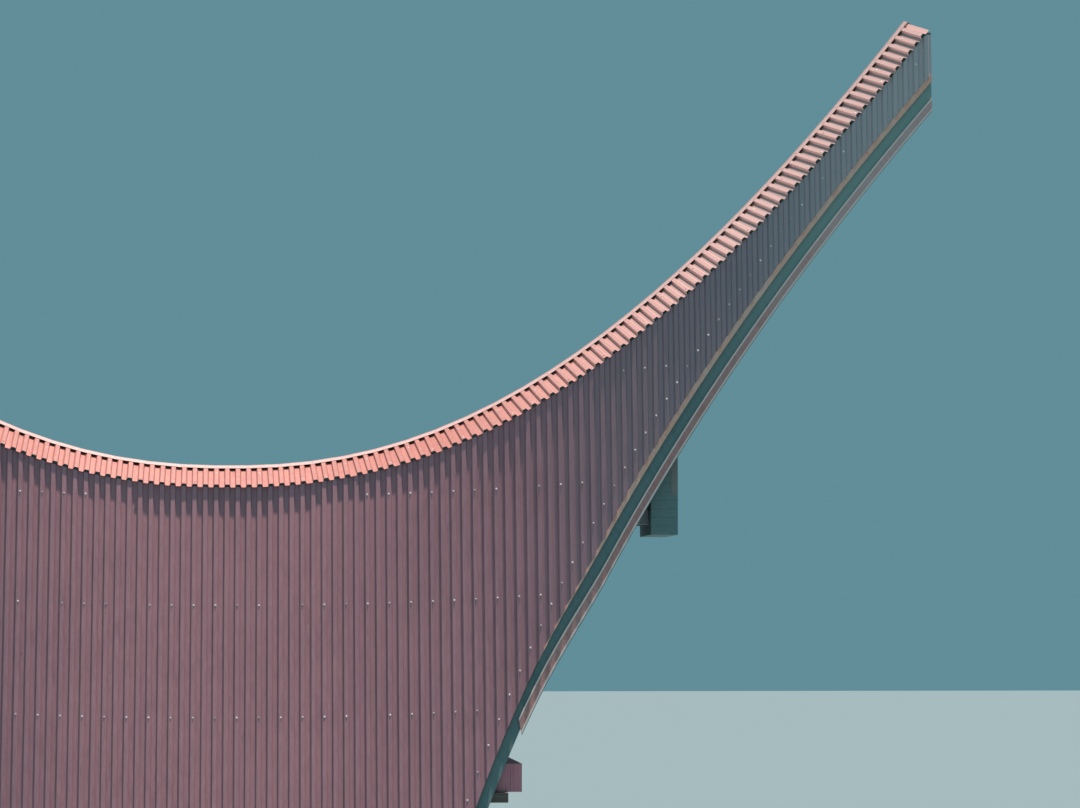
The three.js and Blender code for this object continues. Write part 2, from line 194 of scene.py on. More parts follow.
def paint_over(finish, mask, colour):
    """Mixes a colour into what a finish shows so far, by a mask."""
    tree = finish.node_tree
    base = tree.nodes["Principled BSDF"].inputs["Base Color"]
    under = base.links[0].from_socket if base.is_linked else tuple(base.default_value)
    mix = add_node(tree, "ShaderNodeMix", {0: mask, 6: under, 7: colour}, data_type="RGBA")
    tree.links.new(mix.outputs[2], base)


def bump(finish, height, distance):
    """Gives a finish the relief of a height."""
    relief = add_node(finish.node_tree, "ShaderNodeBump", {"Height": height, "Distance": distance})
    feed(finish, "Normal", relief.outputs["Normal"])


def middle_of(node):
    """The middle of a node's box."""
    low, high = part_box(node)
    return (low + high) / 2


def edges_at(corners):
    """The edges that meet at these corners."""
    return list({edge for corner in corners for edge in corner.link_edges})


def bevel(shape, edges, width, segments=1):
    """Takes off or rounds these edges, and gives their new corners."""
    return bmesh.ops.bevel(shape, geom=edges, offset=width, segments=segments, profile=0.5,
                           affect="EDGES", material=-1)["verts"]


def add_block(shape, low, high, finish=0):
    """Adds a block between two opposite corners."""
    low, high = map(Vector, zip(*map(sorted, zip(low, high))))
    place = Matrix.Translation((low + high) / 2) @ Matrix.Diagonal((*(high - low), 1))
    corners = bmesh.ops.create_cube(shape, size=1, matrix=place)["verts"]
    for face in {face for corner in corners for face in corner.link_faces}:
        face.material_index = finish
    return corners


stone_finish, tree = new_finish("pad_stone", STONE_DARK, roughness=0.9)
place = object_place(tree)
lumps = clouds(tree, place, scale=9, detail=8, roughness=0.65)
flecks = clouds(tree, place, scale=130, detail=3)
paint_over(stone_finish, lumps, STONE_PALE)
paint_over(stone_finish, spread(tree, flecks, 0.42, 0.72), STONE_PALE)
bump(stone_finish, lumps, distance=0.012)

for number in FRAMES:
    x = middle_of(f"pile_frame_{number}").x
    pads = bmesh.new()
    for row in POST_ROWS.values():
        pad = add_block(pads, (x - PAD_HALF, row - PAD_HALF, 0),
                        (x + PAD_HALF, row + PAD_HALF, PAD_HEIGHT))
        bevel(pads, edges_at(pad), PAD_EDGE, 2)
    long_edges = [edge for edge in pads.edges if edge.calc_length() > 2 * PAD_EDGE]
    bmesh.ops.subdivide_edges(pads, edges=long_edges, cuts=PAD_CUTS, use_grid_fill=True)
    for corner in pads.verts:
        if HAIR < corner.co.z < PAD_HEIGHT - HAIR:
            row = min(POST_ROWS.values(), key=lambda row: abs(row - corner.co.y))
            inward = (Vector((x, row, PAD_HEIGHT / 2)) - corner.co).normalized()
            dent = PAD_DENT * (0.5 + 0.5 * noise.noise(corner.co * DENTS_A_METRE))
            corner.co += Vector((inward.x, inward.y, 0)) * dent
    bmesh.ops.recalc_face_normals(pads, faces=pads.faces)
    piece = as_object(pads, f"stone_pads_{number}", stone_finish)
    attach(piece, "root")


# Pile frames: five rows of three square hardwood posts, hewn with an adze and chamfered.
# A cap beam lies over each row, and a cross tie runs through its posts, held by wedges.
POST_HALF = 0.13
POST_CHAMFER = 0.022
CAP_DEPTH = 0.22
CROSS_TIE_FOOT = 1.12
CROSS_TIE_TOP = 1.30
CROSS_TIE_HALF = 0.05
CROSS_TIE_EDGE = 0.01
TIE_REACH = 1.85
WEDGE_HALF = 0.07
WEDGE_THICK = 0.045
TIMBER_EDGE = 0.006
FINE_EDGE = 0.004
PILE_DARK = (0.115, 0.082, 0.060, 1)
PILE_PALE = (0.30, 0.235, 0.18, 1)
GRAIN_TURNS = {
    "upright": (0, math.radians(90), 0), "across": (0, 0, math.radians(90)), "along": (0, 0, 0),
}


def timber(shape, low, high, edge=TIMBER_EDGE, finish=0):
    """Adds a squared timber or board with its edges taken off, and gives its corners."""
    return bevel(shape, edges_at(add_block(shape, low, high, finish)), edge)


def math_chain(tree, value, *steps):
    """A value taken through sums, one after the other."""
    for operation, *others in steps:
        inputs = dict(enumerate([value, *others]))
        value = add_node(tree, "ShaderNodeMath", inputs, operation=operation).outputs["Value"]
    return value


def stretch(tree, place, amounts):
    """A place stretched along its axes."""
    inputs = {0: place, 1: amounts}
    return add_node(tree, "ShaderNodeVectorMath", inputs, operation="MULTIPLY").outputs[0]


def new_group(name, **inputs):
    """A node group with its inputs, each a Float or a Vector."""
    group = bpy.data.node_groups.new(name, "ShaderNodeTree")
    for socket, kind in inputs.items():
        group.interface.new_socket(socket, in_out="INPUT", socket_type=f"NodeSocket{kind}")
    return group, group.nodes.new("NodeGroupInput").outputs


def group_outputs(group, **sources):
    """Gives a node group its outputs."""
    for socket in sources:
        group.interface.new_socket(socket, in_out="OUTPUT", socket_type="NodeSocketFloat")
    leave = group.nodes.new("NodeGroupOutput")
    for socket, source in sources.items():
        group.links.new(source, leave.inputs[socket])


def use_group(tree, group, **inputs):
    """Places a node group in a material with its own values, and gives its outputs."""
    return add_node(tree, "ShaderNodeGroup", inputs, node_tree=group).outputs


def darker(colour, share):
    """A colour at a share of its brightness."""
    return (*(share * part for part in colour[:3]), 1)


wood_grain, entry = new_group("wood_grain", Place="Vector", Scale="Float")
fibres = clouds(wood_grain, stretch(wood_grain, entry["Place"], (0.045, 1, 1)), entry["Scale"],
                detail=7, roughness=0.68, distortion=0.25)
patches = clouds(wood_grain, entry["Place"], scale=1.3, detail=4)
checks = add_node(wood_grain, "ShaderNodeTexVoronoi", {
    "Vector": stretch(wood_grain, entry["Place"], (0.02, 1, 1)), "Scale": 16,
}, feature="DISTANCE_TO_EDGE")
cracks = spread(wood_grain, checks.outputs["Distance"], 0.0, 0.035, low=1.0, high=0.0)
height = math_chain(wood_grain, cracks, ("MULTIPLY_ADD", -0.7, fibres))
group_outputs(wood_grain, Grain=fibres, Patches=patches, Cracks=cracks, Height=height)


def wood_finish(name, dark, pale, turn, scale=26, roughness=0.8, relief=0.004, cracks=0.6):
    """Sawn or hewn wood whose fibres run the way that the turn says."""
    finish, tree = new_finish(name, dark, roughness)
    grain = use_group(tree, wood_grain, Place=object_place(tree, turn), Scale=scale)
    faded = (*(0.5 * part + 0.5 * sum(pale[:3]) / 3 for part in pale[:3]), 1)
    paint_over(finish, spread(tree, grain["Grain"], 0.3, 0.7), pale)
    paint_over(finish, spread(tree, grain["Patches"], 0.4, 0.75, high=0.55), faded)
    paint_over(finish, math_chain(tree, grain["Cracks"], ("MULTIPLY", cracks)), darker(dark, 0.45))
    bump(finish, grain["Height"], relief)
    return finish


def wood_finishes(name, dark, pale):
    """The same wood with its fibres upright, across and along the house."""
    return [wood_finish(f"{name}_{way}", dark, pale, turn) for way, turn in GRAIN_TURNS.items()]


pile_up, pile_across, pile_along = wood_finishes("pile_timber", PILE_DARK, PILE_PALE)

for number in FRAMES:
    node = f"pile_frame_{number}"
    x = middle_of(node).x
    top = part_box(node)[1].z
    posts = bmesh.new()
    for row in POST_ROWS.values():
        timber(posts, (x - POST_HALF, row - POST_HALF, PAD_HEIGHT),
               (x + POST_HALF, row + POST_HALF, top - CAP_DEPTH), POST_CHAMFER)
        for side in (-1, 1):
            timber(posts, (x - WEDGE_HALF, row + side * POST_HALF, CROSS_TIE_TOP),
                   (x + WEDGE_HALF, row + side * (POST_HALF + WEDGE_THICK),
                    CROSS_TIE_TOP + WEDGE_THICK), FINE_EDGE, 2)
    timber(posts, (x - POST_HALF, -TIE_REACH, top - CAP_DEPTH), (x + POST_HALF, TIE_REACH, top),
           POST_CHAMFER, 1)
    timber(posts, (x - CROSS_TIE_HALF, -TIE_REACH, CROSS_TIE_FOOT),
           (x + CROSS_TIE_HALF, TIE_REACH, CROSS_TIE_TOP), CROSS_TIE_EDGE, 1)
    piece = as_object(posts, f"pile_posts_{number}", pile_up, pile_across, pile_along)
    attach(piece, "root")
    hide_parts(node)
    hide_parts(node)


# Long ties: three planed hardwood rails that run the length of the house.
# They pass through mortises in the posts and are tightened there with wedges.
TIE_EDGE = 0.009
TIE_WEDGE = Vector((0.05, 0.10, 0.035))
WEDGE_PLACE = 0.2

for row_name, row in POST_ROWS.items():
    node = f"pile_tie_{row_name}"
    low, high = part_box(node)
    tie = bmesh.new()
    timber(tie, low, high, TIE_EDGE)
    for number in FRAMES:
        x = middle_of(f"pile_frame_{number}").x
        for way in (-1, 1):
            if low.x < x + way * WEDGE_PLACE < high.x:
                near = x + way * POST_HALF
                timber(tie, (near, row - TIE_WEDGE.y / 2, high.z),
                       (near + way * TIE_WEDGE.x, row + TIE_WEDGE.y / 2, high.z + TIE_WEDGE.z),
                       FINE_EDGE, 1)
    piece = as_object(tie, f"long_tie_{row_name}", pile_along, pile_across)
    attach(piece, "root")
    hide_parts(node)


# Floor sills: three heavy sawn beams that lie on the cap beams along the house.
# Flat packing strips on them carry the floor boards.
SILL_EDGE = 0.012
FLOOR_BOARD = 0.034
TIMBER_DARK = (0.070, 0.048, 0.036, 1)
TIMBER_PALE = (0.20, 0.145, 0.11, 1)

frame_up, frame_across, frame_along = wood_finishes("frame_timber", TIMBER_DARK, TIMBER_PALE)
floor_low, floor_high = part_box("floor")
board_foot = floor_high.z - FLOOR_BOARD

for row_name in POST_ROWS:
    low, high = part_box(f"floor_sill_{row_name}")
    sill = bmesh.new()
    timber(sill, low, high, SILL_EDGE)
    timber(sill, (low.x, low.y, floor_low.z), (high.x, high.y, board_foot), FINE_EDGE)
    piece = as_object(sill, f"floor_beam_{row_name}", frame_along)
    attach(piece, "root")
    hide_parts(f"floor_sill_{row_name}")


# Floor: hardwood boards laid across the sills, each about a hand and a half wide.
# They are pegged down, and a rim board closes their ends on both long sides.
FLOOR_BOARD_WIDTH = 0.206
FLOOR_GAP = 0.004
FLOOR_EDGE = 0.003
RIM_THICK = 0.03


def board_row(shape, low, high, axis, width, gap=0.0, edge=FLOOR_EDGE):
    """Adds boards of one width side by side along an axis, and gives their corners."""
    count = round((high[axis] - low[axis]) / width)
    step = (high[axis] - low[axis]) / count
    corners = []
    for number in range(count):
        start, stop = list(low), list(high)
        start[axis] = low[axis] + number * step + gap / 2
        stop[axis] = low[axis] + (number + 1) * step - gap / 2
        corners += timber(shape, start, stop, edge)
    return corners


floor_boards = bmesh.new()
board_row(floor_boards, (floor_low.x, floor_low.y + RIM_THICK, board_foot),
          (floor_high.x, floor_high.y - RIM_THICK, floor_high.z), 0, FLOOR_BOARD_WIDTH, FLOOR_GAP)
for outer, inner in ((floor_low.y, floor_low.y + RIM_THICK),
                     (floor_high.y, floor_high.y - RIM_THICK)):
    timber(floor_boards, (floor_low.x, outer, floor_low.z), (floor_high.x, inner, floor_high.z),
           FINE_EDGE, 1)
floor_piece = as_object(floor_boards, "floor_boards", frame_across, frame_along)
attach(floor_piece, "root")
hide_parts("floor")


# House walls: frames of dark rails and studs round upright boards, all of stained wood.
# Rails and studs are tenoned together, and the boards stand in grooves between them.
RAIL = 0.14
STUD = 0.12
STUD_EDGE = 0.008
CASING = 0.09
WALL_BOARD = 0.16
WALL_BOARD_THICK = 0.028
WALL_BOARD_EDGE = 0.007
BOARD_INSET = 0.02
BOARD_GAP = 0.001
LEAST_BOARD = (0.006, 0.14)
WALL_DARK = (0.115, 0.050, 0.042, 1)
WALL_PALE = (0.25, 0.125, 0.105, 1)
WINDOW_SILL = 3.4
WINDOW_TOP = 4.1
SIDE_WINDOWS = ((-2.15, -1.55), (1.55, 2.15))
SIDE_STUDS = (-3.85, -2.95, -0.93, 0.0, 0.93, 2.95, 3.85)
DOOR_SPAN = (0.3, 1.1)
DOOR_TOP = 4.4553
RIGHT_WINDOW = (-1.0, -0.4)
LEFT_WINDOW = (-0.3, 0.3)
END_STUDS = (-1.69, 1.69)
PLATE_GAP = 0.0006

wall_up = wood_finish("wall_panel_upright", WALL_DARK, WALL_PALE, GRAIN_TURNS["upright"],
                      roughness=0.7)


def wall_shape(node, along, openings, studs, head):
    """A boarded wall with openings. `along` is the axis that it runs along, and `head` a
    narrower top part as (half width, height)."""
    low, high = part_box(node)
    start, stop, across = low[along], high[along], 1 - along
    top = head[1] if head else high.z
    wall = bmesh.new()

    def member(u0, u1, z0, z1, finish=0, edge=TIMBER_EDGE, thick=None):
        near, far = low.copy(), high.copy()
        if thick:
            middle = (low[across] + high[across]) / 2
            near[across], far[across] = middle - thick / 2, middle + thick / 2
        near[along], far[along], near.z, far.z = u0, u1, z0, z1
        timber(wall, near, far, edge, finish)

    foot_ends = [start, stop]
    for u0, u1, z0, z1 in openings:
        door = z0 <= low.z
        if door:
            foot_ends[1:1] = [u0 - CASING, u1 + CASING]
        else:
            member(u0, u1, z0 - CASING, z0, 1)
        member(u0, u1, z1, z1 + CASING, 1)
        for jamb in ((u0 - CASING, u0), (u1, u1 + CASING)):
            member(*jamb, z0 if door else low.z + RAIL, top - RAIL)
    for u0, u1 in zip(foot_ends[::2], foot_ends[1::2]):
        member(u0, u1, low.z, low.z + RAIL, 1)
    member(start, stop, top - RAIL, top, 1)
    for stud in studs:
        member(stud - STUD / 2, stud + STUD / 2, low.z + RAIL, top - RAIL, edge=STUD_EDGE)
    count = round((stop - start) / WALL_BOARD)
    cuts = {start + number * (stop - start) / count for number in range(count + 1)}
    holes = [(u0 - CASING / 2, u1 + CASING / 2, z0, z1) for u0, u1, z0, z1 in openings]
    cuts = sorted(cuts.union(*(hole[:2] for hole in holes)))
    for u0, u1 in zip(cuts, cuts[1:]):
        spans = [(low.z, top)]
        for o0, o1, z0, z1 in holes:
            if o0 < (u0 + u1) / 2 < o1:
                spans = [(low.z, z0), (z1, top)]
        for z0, z1 in spans:
            if u1 - u0 > LEAST_BOARD[0] and z1 - z0 > LEAST_BOARD[1]:
                member(u0 + BOARD_GAP, u1 - BOARD_GAP, z0 + BOARD_INSET, z1 - BOARD_INSET, 2,
                       min(WALL_BOARD_EDGE, (u1 - u0) / 4), WALL_BOARD_THICK)
    if head:
        member(-head[0], head[0], top, high.z, 1)
    return wall


door = (*DOOR_SPAN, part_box("end_wall_right")[0].z, DOOR_TOP)
right_window, left_window, *side_windows = (
    (*span, WINDOW_SILL, WINDOW_TOP) for span in (RIGHT_WINDOW, LEFT_WINDOW, *SIDE_WINDOWS)
)
end_head = (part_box("wall_plate_back")[0].y - PLATE_GAP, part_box("side_wall_front")[1].z)
for node, name, rails, along, openings, studs, head in (
    ("side_wall_front", "wall_boards_front", frame_along, 0, side_windows, SIDE_STUDS, None),
    ("side_wall_back", "wall_boards_back", frame_along, 0, side_windows, SIDE_STUDS, None),
    ("end_wall_right", "end_wall_boards_right", frame_across, 1, [door, right_window], END_STUDS,
     end_head),
    ("end_wall_left", "end_wall_boards_left", frame_across, 1, [left_window], END_STUDS,
     end_head),
):
    wall = wall_shape(node, along, openings, studs, head)
    piece = as_object(wall, name, frame_up, rails, wall_up)
    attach(piece, "root")
    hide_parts(node)


# Wall plates, upper beams and ridge beam: long sawn timbers that carry the roof.
# The plates lie on the side walls, and the grey upper beams hang the panels under the prows.
SIDES = {"front": -1, "back": 1}
GREY_TIMBER_DARK = (0.26, 0.29, 0.31, 1)
GREY_TIMBER_PALE = (0.40, 0.44, 0.47, 1)

grey_along = wood_finish("frame_timber_grey", GREY_TIMBER_DARK, GREY_TIMBER_PALE,
                         GRAIN_TURNS["along"])
for side in SIDES:
    for node, name, wood in ((f"wall_plate_{side}", f"plate_timber_{side}", frame_along),
                             (f"upper_beam_{side}", f"upper_timber_{side}", grey_along)):
        beam = bmesh.new()
        timber(beam, *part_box(node), SILL_EDGE)
        piece = as_object(beam, name, wood)
        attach(piece, "root")
        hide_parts(node)


def refinish(name, finish):
    """Gives a finish to a CAD node that keeps its shape."""
    node = frame["nodes"][name]
    node.data.materials.clear()
    node.data.materials.append(finish)
    return node


refinish("ridge_beam", frame_along)


# Gable floors and gable sills: at each end a short boarded floor over the end wall, and
# outside it a broad boxed sill, painted maroon, that rests on the ends of the plates.
ENDS = {"left": -1, "right": 1}
DECK_BOARD = 0.17
SILL_BOARDS = 3
SILL_END = 0.024
BOARD_EDGE = 0.005
MAROON_DARK = (0.49, 0.15, 0.19, 1)
MAROON_PALE = (0.65, 0.24, 0.295, 1)

maroon_across, maroon_upright = (
    wood_finish(f"gable_maroon_{way}", MAROON_DARK, MAROON_PALE, GRAIN_TURNS[way], scale=18,
                roughness=0.65, relief=0.002)
    for way in ("across", "upright")
)
for end in ENDS:
    deck = bmesh.new()
    board_row(deck, *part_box(f"gable_deck_{end}"), 0, DECK_BOARD, FLOOR_GAP)
    piece = as_object(deck, f"gable_floor_boards_{end}", frame_across)
    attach(piece, "root")
    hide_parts(f"gable_deck_{end}")

    low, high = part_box(f"gable_sill_{end}")
    sill = bmesh.new()
    board_row(sill, (low.x, low.y + SILL_END, low.z), (high.x, high.y - SILL_END, high.z),
              2, (high.z - low.z) / SILL_BOARDS, edge=FINE_EDGE)
    for outer, inner in ((low.y, low.y + SILL_END), (high.y, high.y - SILL_END)):
        timber(sill, (low.x, outer, low.z), (high.x, inner, high.z), BOARD_EDGE, 1)
    piece = as_object(sill, f"gable_sill_boards_{end}", maroon_across, maroon_upright)
    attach(piece, "root")
    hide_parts(f"gable_sill_{end}")


# Gable walls: upright boards that fill the gable between the roof slopes. A foot rail, two
# cross rails and a centre stud hold them, and they are cut round the upper beams.
RIDGE_MIDDLE = 11.6
RIDGE_SQUARE = 0.00933
RIDGE_BEND = 0.02608
RIDGE_CUBE = -0.004
LEAN_MIDDLE = 0.225
LEAN_PROW = 0.055
LEAN_REACH = 6.04
COURSE_PITCH = math.radians(21.7)
COURSE_THICK = 0.042
RIB_HEIGHT = 0.050
STEEL = 0.0014
PAN_CLEAR = (RIB_HEIGHT + STEEL - COURSE_THICK) / math.cos(COURSE_PITCH) + 0.003
SLOPE_START = 0.93
LINING_INSET = 0.1053
BEAM_DEPTH = 0.331
GABLE_CLEAR = 0.002
GABLE_BOARD = 0.17
HEAD_ZONE = 0.05
GABLE_RAIL_SHARES = (0.34, 0.64)
GABLE_RAIL_BACK = 0.004
GABLE_STUD_HALF = 0.08


def ridge_height(x):
    """Height of the ridge line over the ground."""
    away = abs(x)
    rise = RIDGE_SQUARE * away ** 2 + RIDGE_BEND * away ** 2.5 + RIDGE_CUBE * away ** 3
    return RIDGE_MIDDLE + rise


def ridge_slope(x):
    """Rise of the ridge line over its run."""
    return (ridge_height(x + HAIR) - ridge_height(x - HAIR)) / (2 * HAIR)


def course_under(y):
    """Depth of the ridge course's under face, square below the ridge line."""
    return y * math.tan(COURSE_PITCH) + COURSE_THICK / math.cos(COURSE_PITCH)


def slope_lean(x):
    """Run over rise of the steep slope, which leans most in the middle of the roof."""
    return LEAN_PROW + (LEAN_MIDDLE - LEAN_PROW) / (1 + (abs(x) / LEAN_REACH) ** 3)


def slope_face(x, z):
    """Distance of the steep slope's outer face from the middle plane."""
    return SLOPE_START + (ridge_height(x) - course_under(SLOPE_START) - z) * slope_lean(x)


def below_ridge(x, depth):
    """Height at a depth square below the ridge line, straight under it."""
    return ridge_height(x) - depth * math.sqrt(1 + ridge_slope(x) ** 2)


def gable_reach(reach, z):
    """Half width, at a height, of the room between the slopes, from its inner to its outer x."""
    inner = reach[0]
    between_linings = min(slope_face(x, z) for x in reach) - LINING_INSET - GABLE_CLEAR
    depth = (ridge_height(inner) - z) / math.sqrt(1 + ridge_slope(inner) ** 2) - PAN_CLEAR
    under_course = (depth - COURSE_THICK / math.cos(COURSE_PITCH)) / math.tan(COURSE_PITCH)
    return min(between_linings, under_course)


def gable_head(reach, y):
    """Height of that room at a distance from the middle plane."""
    run = abs(y) + LINING_INSET + GABLE_CLEAR - SLOPE_START
    return min(
        below_ridge(reach[0], BEAM_DEPTH), below_ridge(reach[0], course_under(abs(y)) + PAN_CLEAR),
        *(ridge_height(x) - course_under(SLOPE_START) - run / slope_lean(x) for x in reach),
    )


def reach_of(low, high):
    """The inner and the outer x of a box, counted from the middle of the roof."""
    return sorted((abs(low.x), abs(high.x)))


for end in ENDS:
    low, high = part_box(f"gable_wall_{end}")
    reach = reach_of(low, high)
    x0 = (low.x + high.x - WALL_BOARD_THICK) / 2
    x1 = x0 + WALL_BOARD_THICK
    gable = bmesh.new()
    count = round((high.y - low.y) / GABLE_BOARD)
    step = (high.y - low.y) / count
    for number in range(count):
        y0 = low.y + number * step + BOARD_GAP
        y1 = y0 + step - 2 * BOARD_GAP
        foot = low.z
        for side in SIDES:
            beam_low, beam_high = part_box(f"upper_beam_{side}")
            if y1 > beam_low.y and y0 < beam_high.y:
                timber(gable, (x0, y0, low.z), (x1, y1, beam_low.z - BOARD_GAP), BOARD_EDGE, 2)
                foot = beam_high.z + BOARD_GAP
        head = max(gable_head(reach, y0), gable_head(reach, y1))
        for corner in timber(gable, (x0, y0, foot), (x1, y1, head), BOARD_EDGE, 2):
            if corner.co.z > head - HEAD_ZONE:
                corner.co.z += gable_head(reach, corner.co.y) - head
    timber(gable, low, (high.x, high.y, low.z + RAIL), finish=1)
    for share in GABLE_RAIL_SHARES:
        z = low.z + share * (high.z - low.z)
        half = min(high.y, gable_reach(reach, z + RAIL)) - GABLE_CLEAR
        timber(gable, (low.x + GABLE_RAIL_BACK, -half, z),
               (high.x - GABLE_RAIL_BACK, half, z + RAIL), finish=1)
    timber(gable, (low.x, -GABLE_STUD_HALF, low.z + RAIL),
           (high.x, GABLE_STUD_HALF, high.z - GABLE_CLEAR))
    piece = as_object(gable, f"gable_boards_{end}", frame_up, frame_across, wall_up)
    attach(piece, "root")
    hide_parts(f"gable_wall_{end}")


# Hanging panels: under each prow a deep block of dark painted boards, laid flat on each
# other, hangs between the slopes. Narrow upright boards cover its outer corners.
PANEL_BOARD = 0.165
COVER_WIDTH = 0.13
COVER_RISE = 0.75
COVER_THICK = 0.006
DARK_PAINT = (0.105, 0.200, 0.210, 1)
DARK_PAINT_PALE = (0.160, 0.255, 0.260, 1)
GREY_PAINT = (0.20, 0.195, 0.185, 1)
GREY_PAINT_PALE = (0.25, 0.245, 0.23, 1)
PANEL_LOOKS = {"scale": 18, "roughness": 0.62, "relief": 0.002, "cracks": 0.3}

panel_dark = wood_finish("dark_board_across", DARK_PAINT, DARK_PAINT_PALE, GRAIN_TURNS["across"],
                         **PANEL_LOOKS)
panel_grey = wood_finish("dark_board_cover", GREY_PAINT, GREY_PAINT_PALE, GRAIN_TURNS["upright"],
                         **PANEL_LOOKS)

for end, away in ENDS.items():
    low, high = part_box(f"hanging_panel_{end}")
    reach = reach_of(low, high)
    half = high.y
    panel = bmesh.new()
    for corner in board_row(panel, (low.x, -half, low.z), high, 2, PANEL_BOARD, edge=BOARD_EDGE):
        corner.co.y *= min(1.0, gable_reach(reach, corner.co.z) / half)
    for side in (-1, 1):
        timber(panel, (away * reach[1], side * (half - COVER_THICK), low.z + COVER_RISE),
               (away * (reach[1] - COVER_WIDTH), side * (half + COVER_THICK),
                gable_head(reach, half)), FINE_EDGE, 1)
    piece = as_object(panel, f"hanging_boards_{end}", panel_dark, panel_grey)
    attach(piece, "root")
    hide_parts(f"hanging_panel_{end}")


# Rafters: sawn scantlings in pairs, one down each steep slope and one under each ridge course.
# The short ones lie on the ridge beam and a head purlin. Cleats tie the long ones to the plates.
RAFTER_SPACING = 0.9
RAFTER_LAST = 12.9
RAFTER_HALF = 0.03
RAFTER_DEPTH = 0.10
EAVE_CLEAR = 0.05
RAKE_CLEAR = 0.01
RAFTER_CLEAR = ((4.85, 5.15), (7.8, 8.5))
SHORT_RAFTER_DEPTH = 0.08
SHORT_RAFTER = (0.082, 0.81)
PURLIN = (0.62, 0.72)
PURLIN_DEPTH = 0.12
PURLIN_CUTS = 16
PURLIN_SPANS = ((-4.95, 4.95), (5.05, 7.90), (8.45, 13.22), (-7.90, -5.05), (-13.22, -8.45))
CLEAT_INNER = 1.76
CLEAT_DEPTH = 0.10
CLEAT_LIFT = 0.0003
EAVE = 4.5
EAVE_RISE = 0.25
VERGE_START = 7.755
VERGE_LEAN = 0.6147
VERGE_CURL = 0.01714
LINING_EDGE = 0.095
LINING_EDGE_FOOT = 0.015
EDGE_FADE = (5.7, 7.0)
RAKE_LAP = 0.08
HEAD_STEPS = 40


def verge_turn(reach):
    """Run over rise of the raking edge, at its reach along the ridge."""
    return math.sqrt(VERGE_LEAN ** 2 - 4 * VERGE_CURL * (VERGE_START - reach))


drop = EAVE - RIDGE_MIDDLE
EAVE_CORNER = VERGE_START + VERGE_LEAN * drop + VERGE_CURL * drop ** 2


def lower_edge(x):
    """Height of the sheets' lower edge, along the eave and up the raking edges."""
    if abs(x) > EAVE_CORNER:
        return RIDGE_MIDDLE + (verge_turn(abs(x)) - VERGE_LEAN) / (2 * VERGE_CURL)
    return EAVE + EAVE_RISE * (ridge_height(x) - ridge_height(EAVE_CORNER))


def verge_stretch(x):
    """Height of a unit of width square to the raking edge."""
    return math.sqrt(1 + 1 / verge_turn(max(abs(x), EAVE_CORNER)) ** 2)


def lining_edge(x):
    """How far the lining stands out below the sheets, measured straight down."""
    rise = min(1.0, max(0.0, (abs(x) - EDGE_FADE[0]) / (EDGE_FADE[1] - EDGE_FADE[0])))
    rise = rise * rise * (3 - 2 * rise)
    return (LINING_EDGE_FOOT + (LINING_EDGE - LINING_EDGE_FOOT) * rise) * verge_stretch(x)


def lining_foot(x):
    """Height of the lining's lower edge."""
    return lower_edge(x) - lining_edge(x)


def slope_head(x, inset=0.0, clear=0.0):
    """Foot on the ridge line, and height, of what ends just under the ridge course."""
    foot, height = x, ridge_height(x)
    for step in range(HEAD_STEPS):
        turn = math.atan(ridge_slope(foot))
        depth = course_under(slope_face(x, height) - inset) + clear
        height = ridge_height(foot) - math.cos(turn) * depth
        foot += x - (foot + math.sin(turn) * depth)
    return foot, height


def long_bar(shape, low, high, cuts, finish=0):
    """Adds a bar along the ridge and cuts it across, so that it can be bent."""
    rails = [edge for edge in edges_at(add_block(shape, low, high, finish))
             if abs(edge.verts[0].co.x - edge.verts[1].co.x) > 1]
    bmesh.ops.subdivide_edges(shape, edges=rails, cuts=cuts)


rafter_places = []
for number in range(int(RAFTER_LAST / RAFTER_SPACING)):
    reach = RAFTER_SPACING * (number + 0.5)
    for near, far in RAFTER_CLEAR:
        reach = far + RAFTER_HALF if near < reach < far else reach
    rafter_places += [-reach, reach]

rafters = bmesh.new()
plate_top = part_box("wall_plate_back")[1].z
rafter_top = course_under(SLOPE_START - LINING_INSET) + SHORT_RAFTER_DEPTH + PAN_CLEAR + 4 * HAIR
for x in rafter_places:
    outer = abs(x) + RAFTER_HALF
    foot = lower_edge(x) + EAVE_CLEAR
    if outer > EAVE_CORNER:
        foot = lining_foot(outer) + RAKE_LAP * verge_stretch(outer) + RAKE_CLEAR
    ridge_x = slope_head(x)[0]
    turn = math.atan(ridge_slope(ridge_x))
    place = Vector((ridge_x, 0, ridge_height(ridge_x)))
    along = Vector((math.cos(turn), 0, math.sin(turn)))
    down = Vector((math.sin(turn), 0, -math.cos(turn)))
    for side in (-1, 1):
        for corner in timber(rafters, (x - RAFTER_HALF, 0, foot),
                             (x + RAFTER_HALF, RAFTER_DEPTH, below_ridge(x, rafter_top)),
                             FINE_EDGE):
            inset = corner.co.y + LINING_INSET + HAIR
            corner.co.y = side * (slope_face(x, corner.co.z) - inset)
        if foot < plate_top:
            cleat_top = plate_top + CLEAT_DEPTH
            far = slope_face(x, cleat_top) - LINING_INSET - RAFTER_DEPTH / 4
            timber(rafters, (x + RAFTER_HALF, side * CLEAT_INNER, plate_top + CLEAT_LIFT),
                   (x + 3 * RAFTER_HALF, side * far, cleat_top), FINE_EDGE, 1)
        for corner in timber(rafters, (-RAFTER_HALF, SHORT_RAFTER[0], -SHORT_RAFTER_DEPTH),
                             (RAFTER_HALF, SHORT_RAFTER[1], 0), FINE_EDGE, 1):
            depth = course_under(corner.co.y) + PAN_CLEAR - corner.co.z
            out = Vector((0, side * corner.co.y, 0))
            corner.co = place + along * corner.co.x + down * depth + out
bmesh.ops.recalc_face_normals(rafters, faces=rafters.faces)
rafter_piece = as_object(rafters, "rafters", frame_up, frame_across)
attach(rafter_piece, "root")

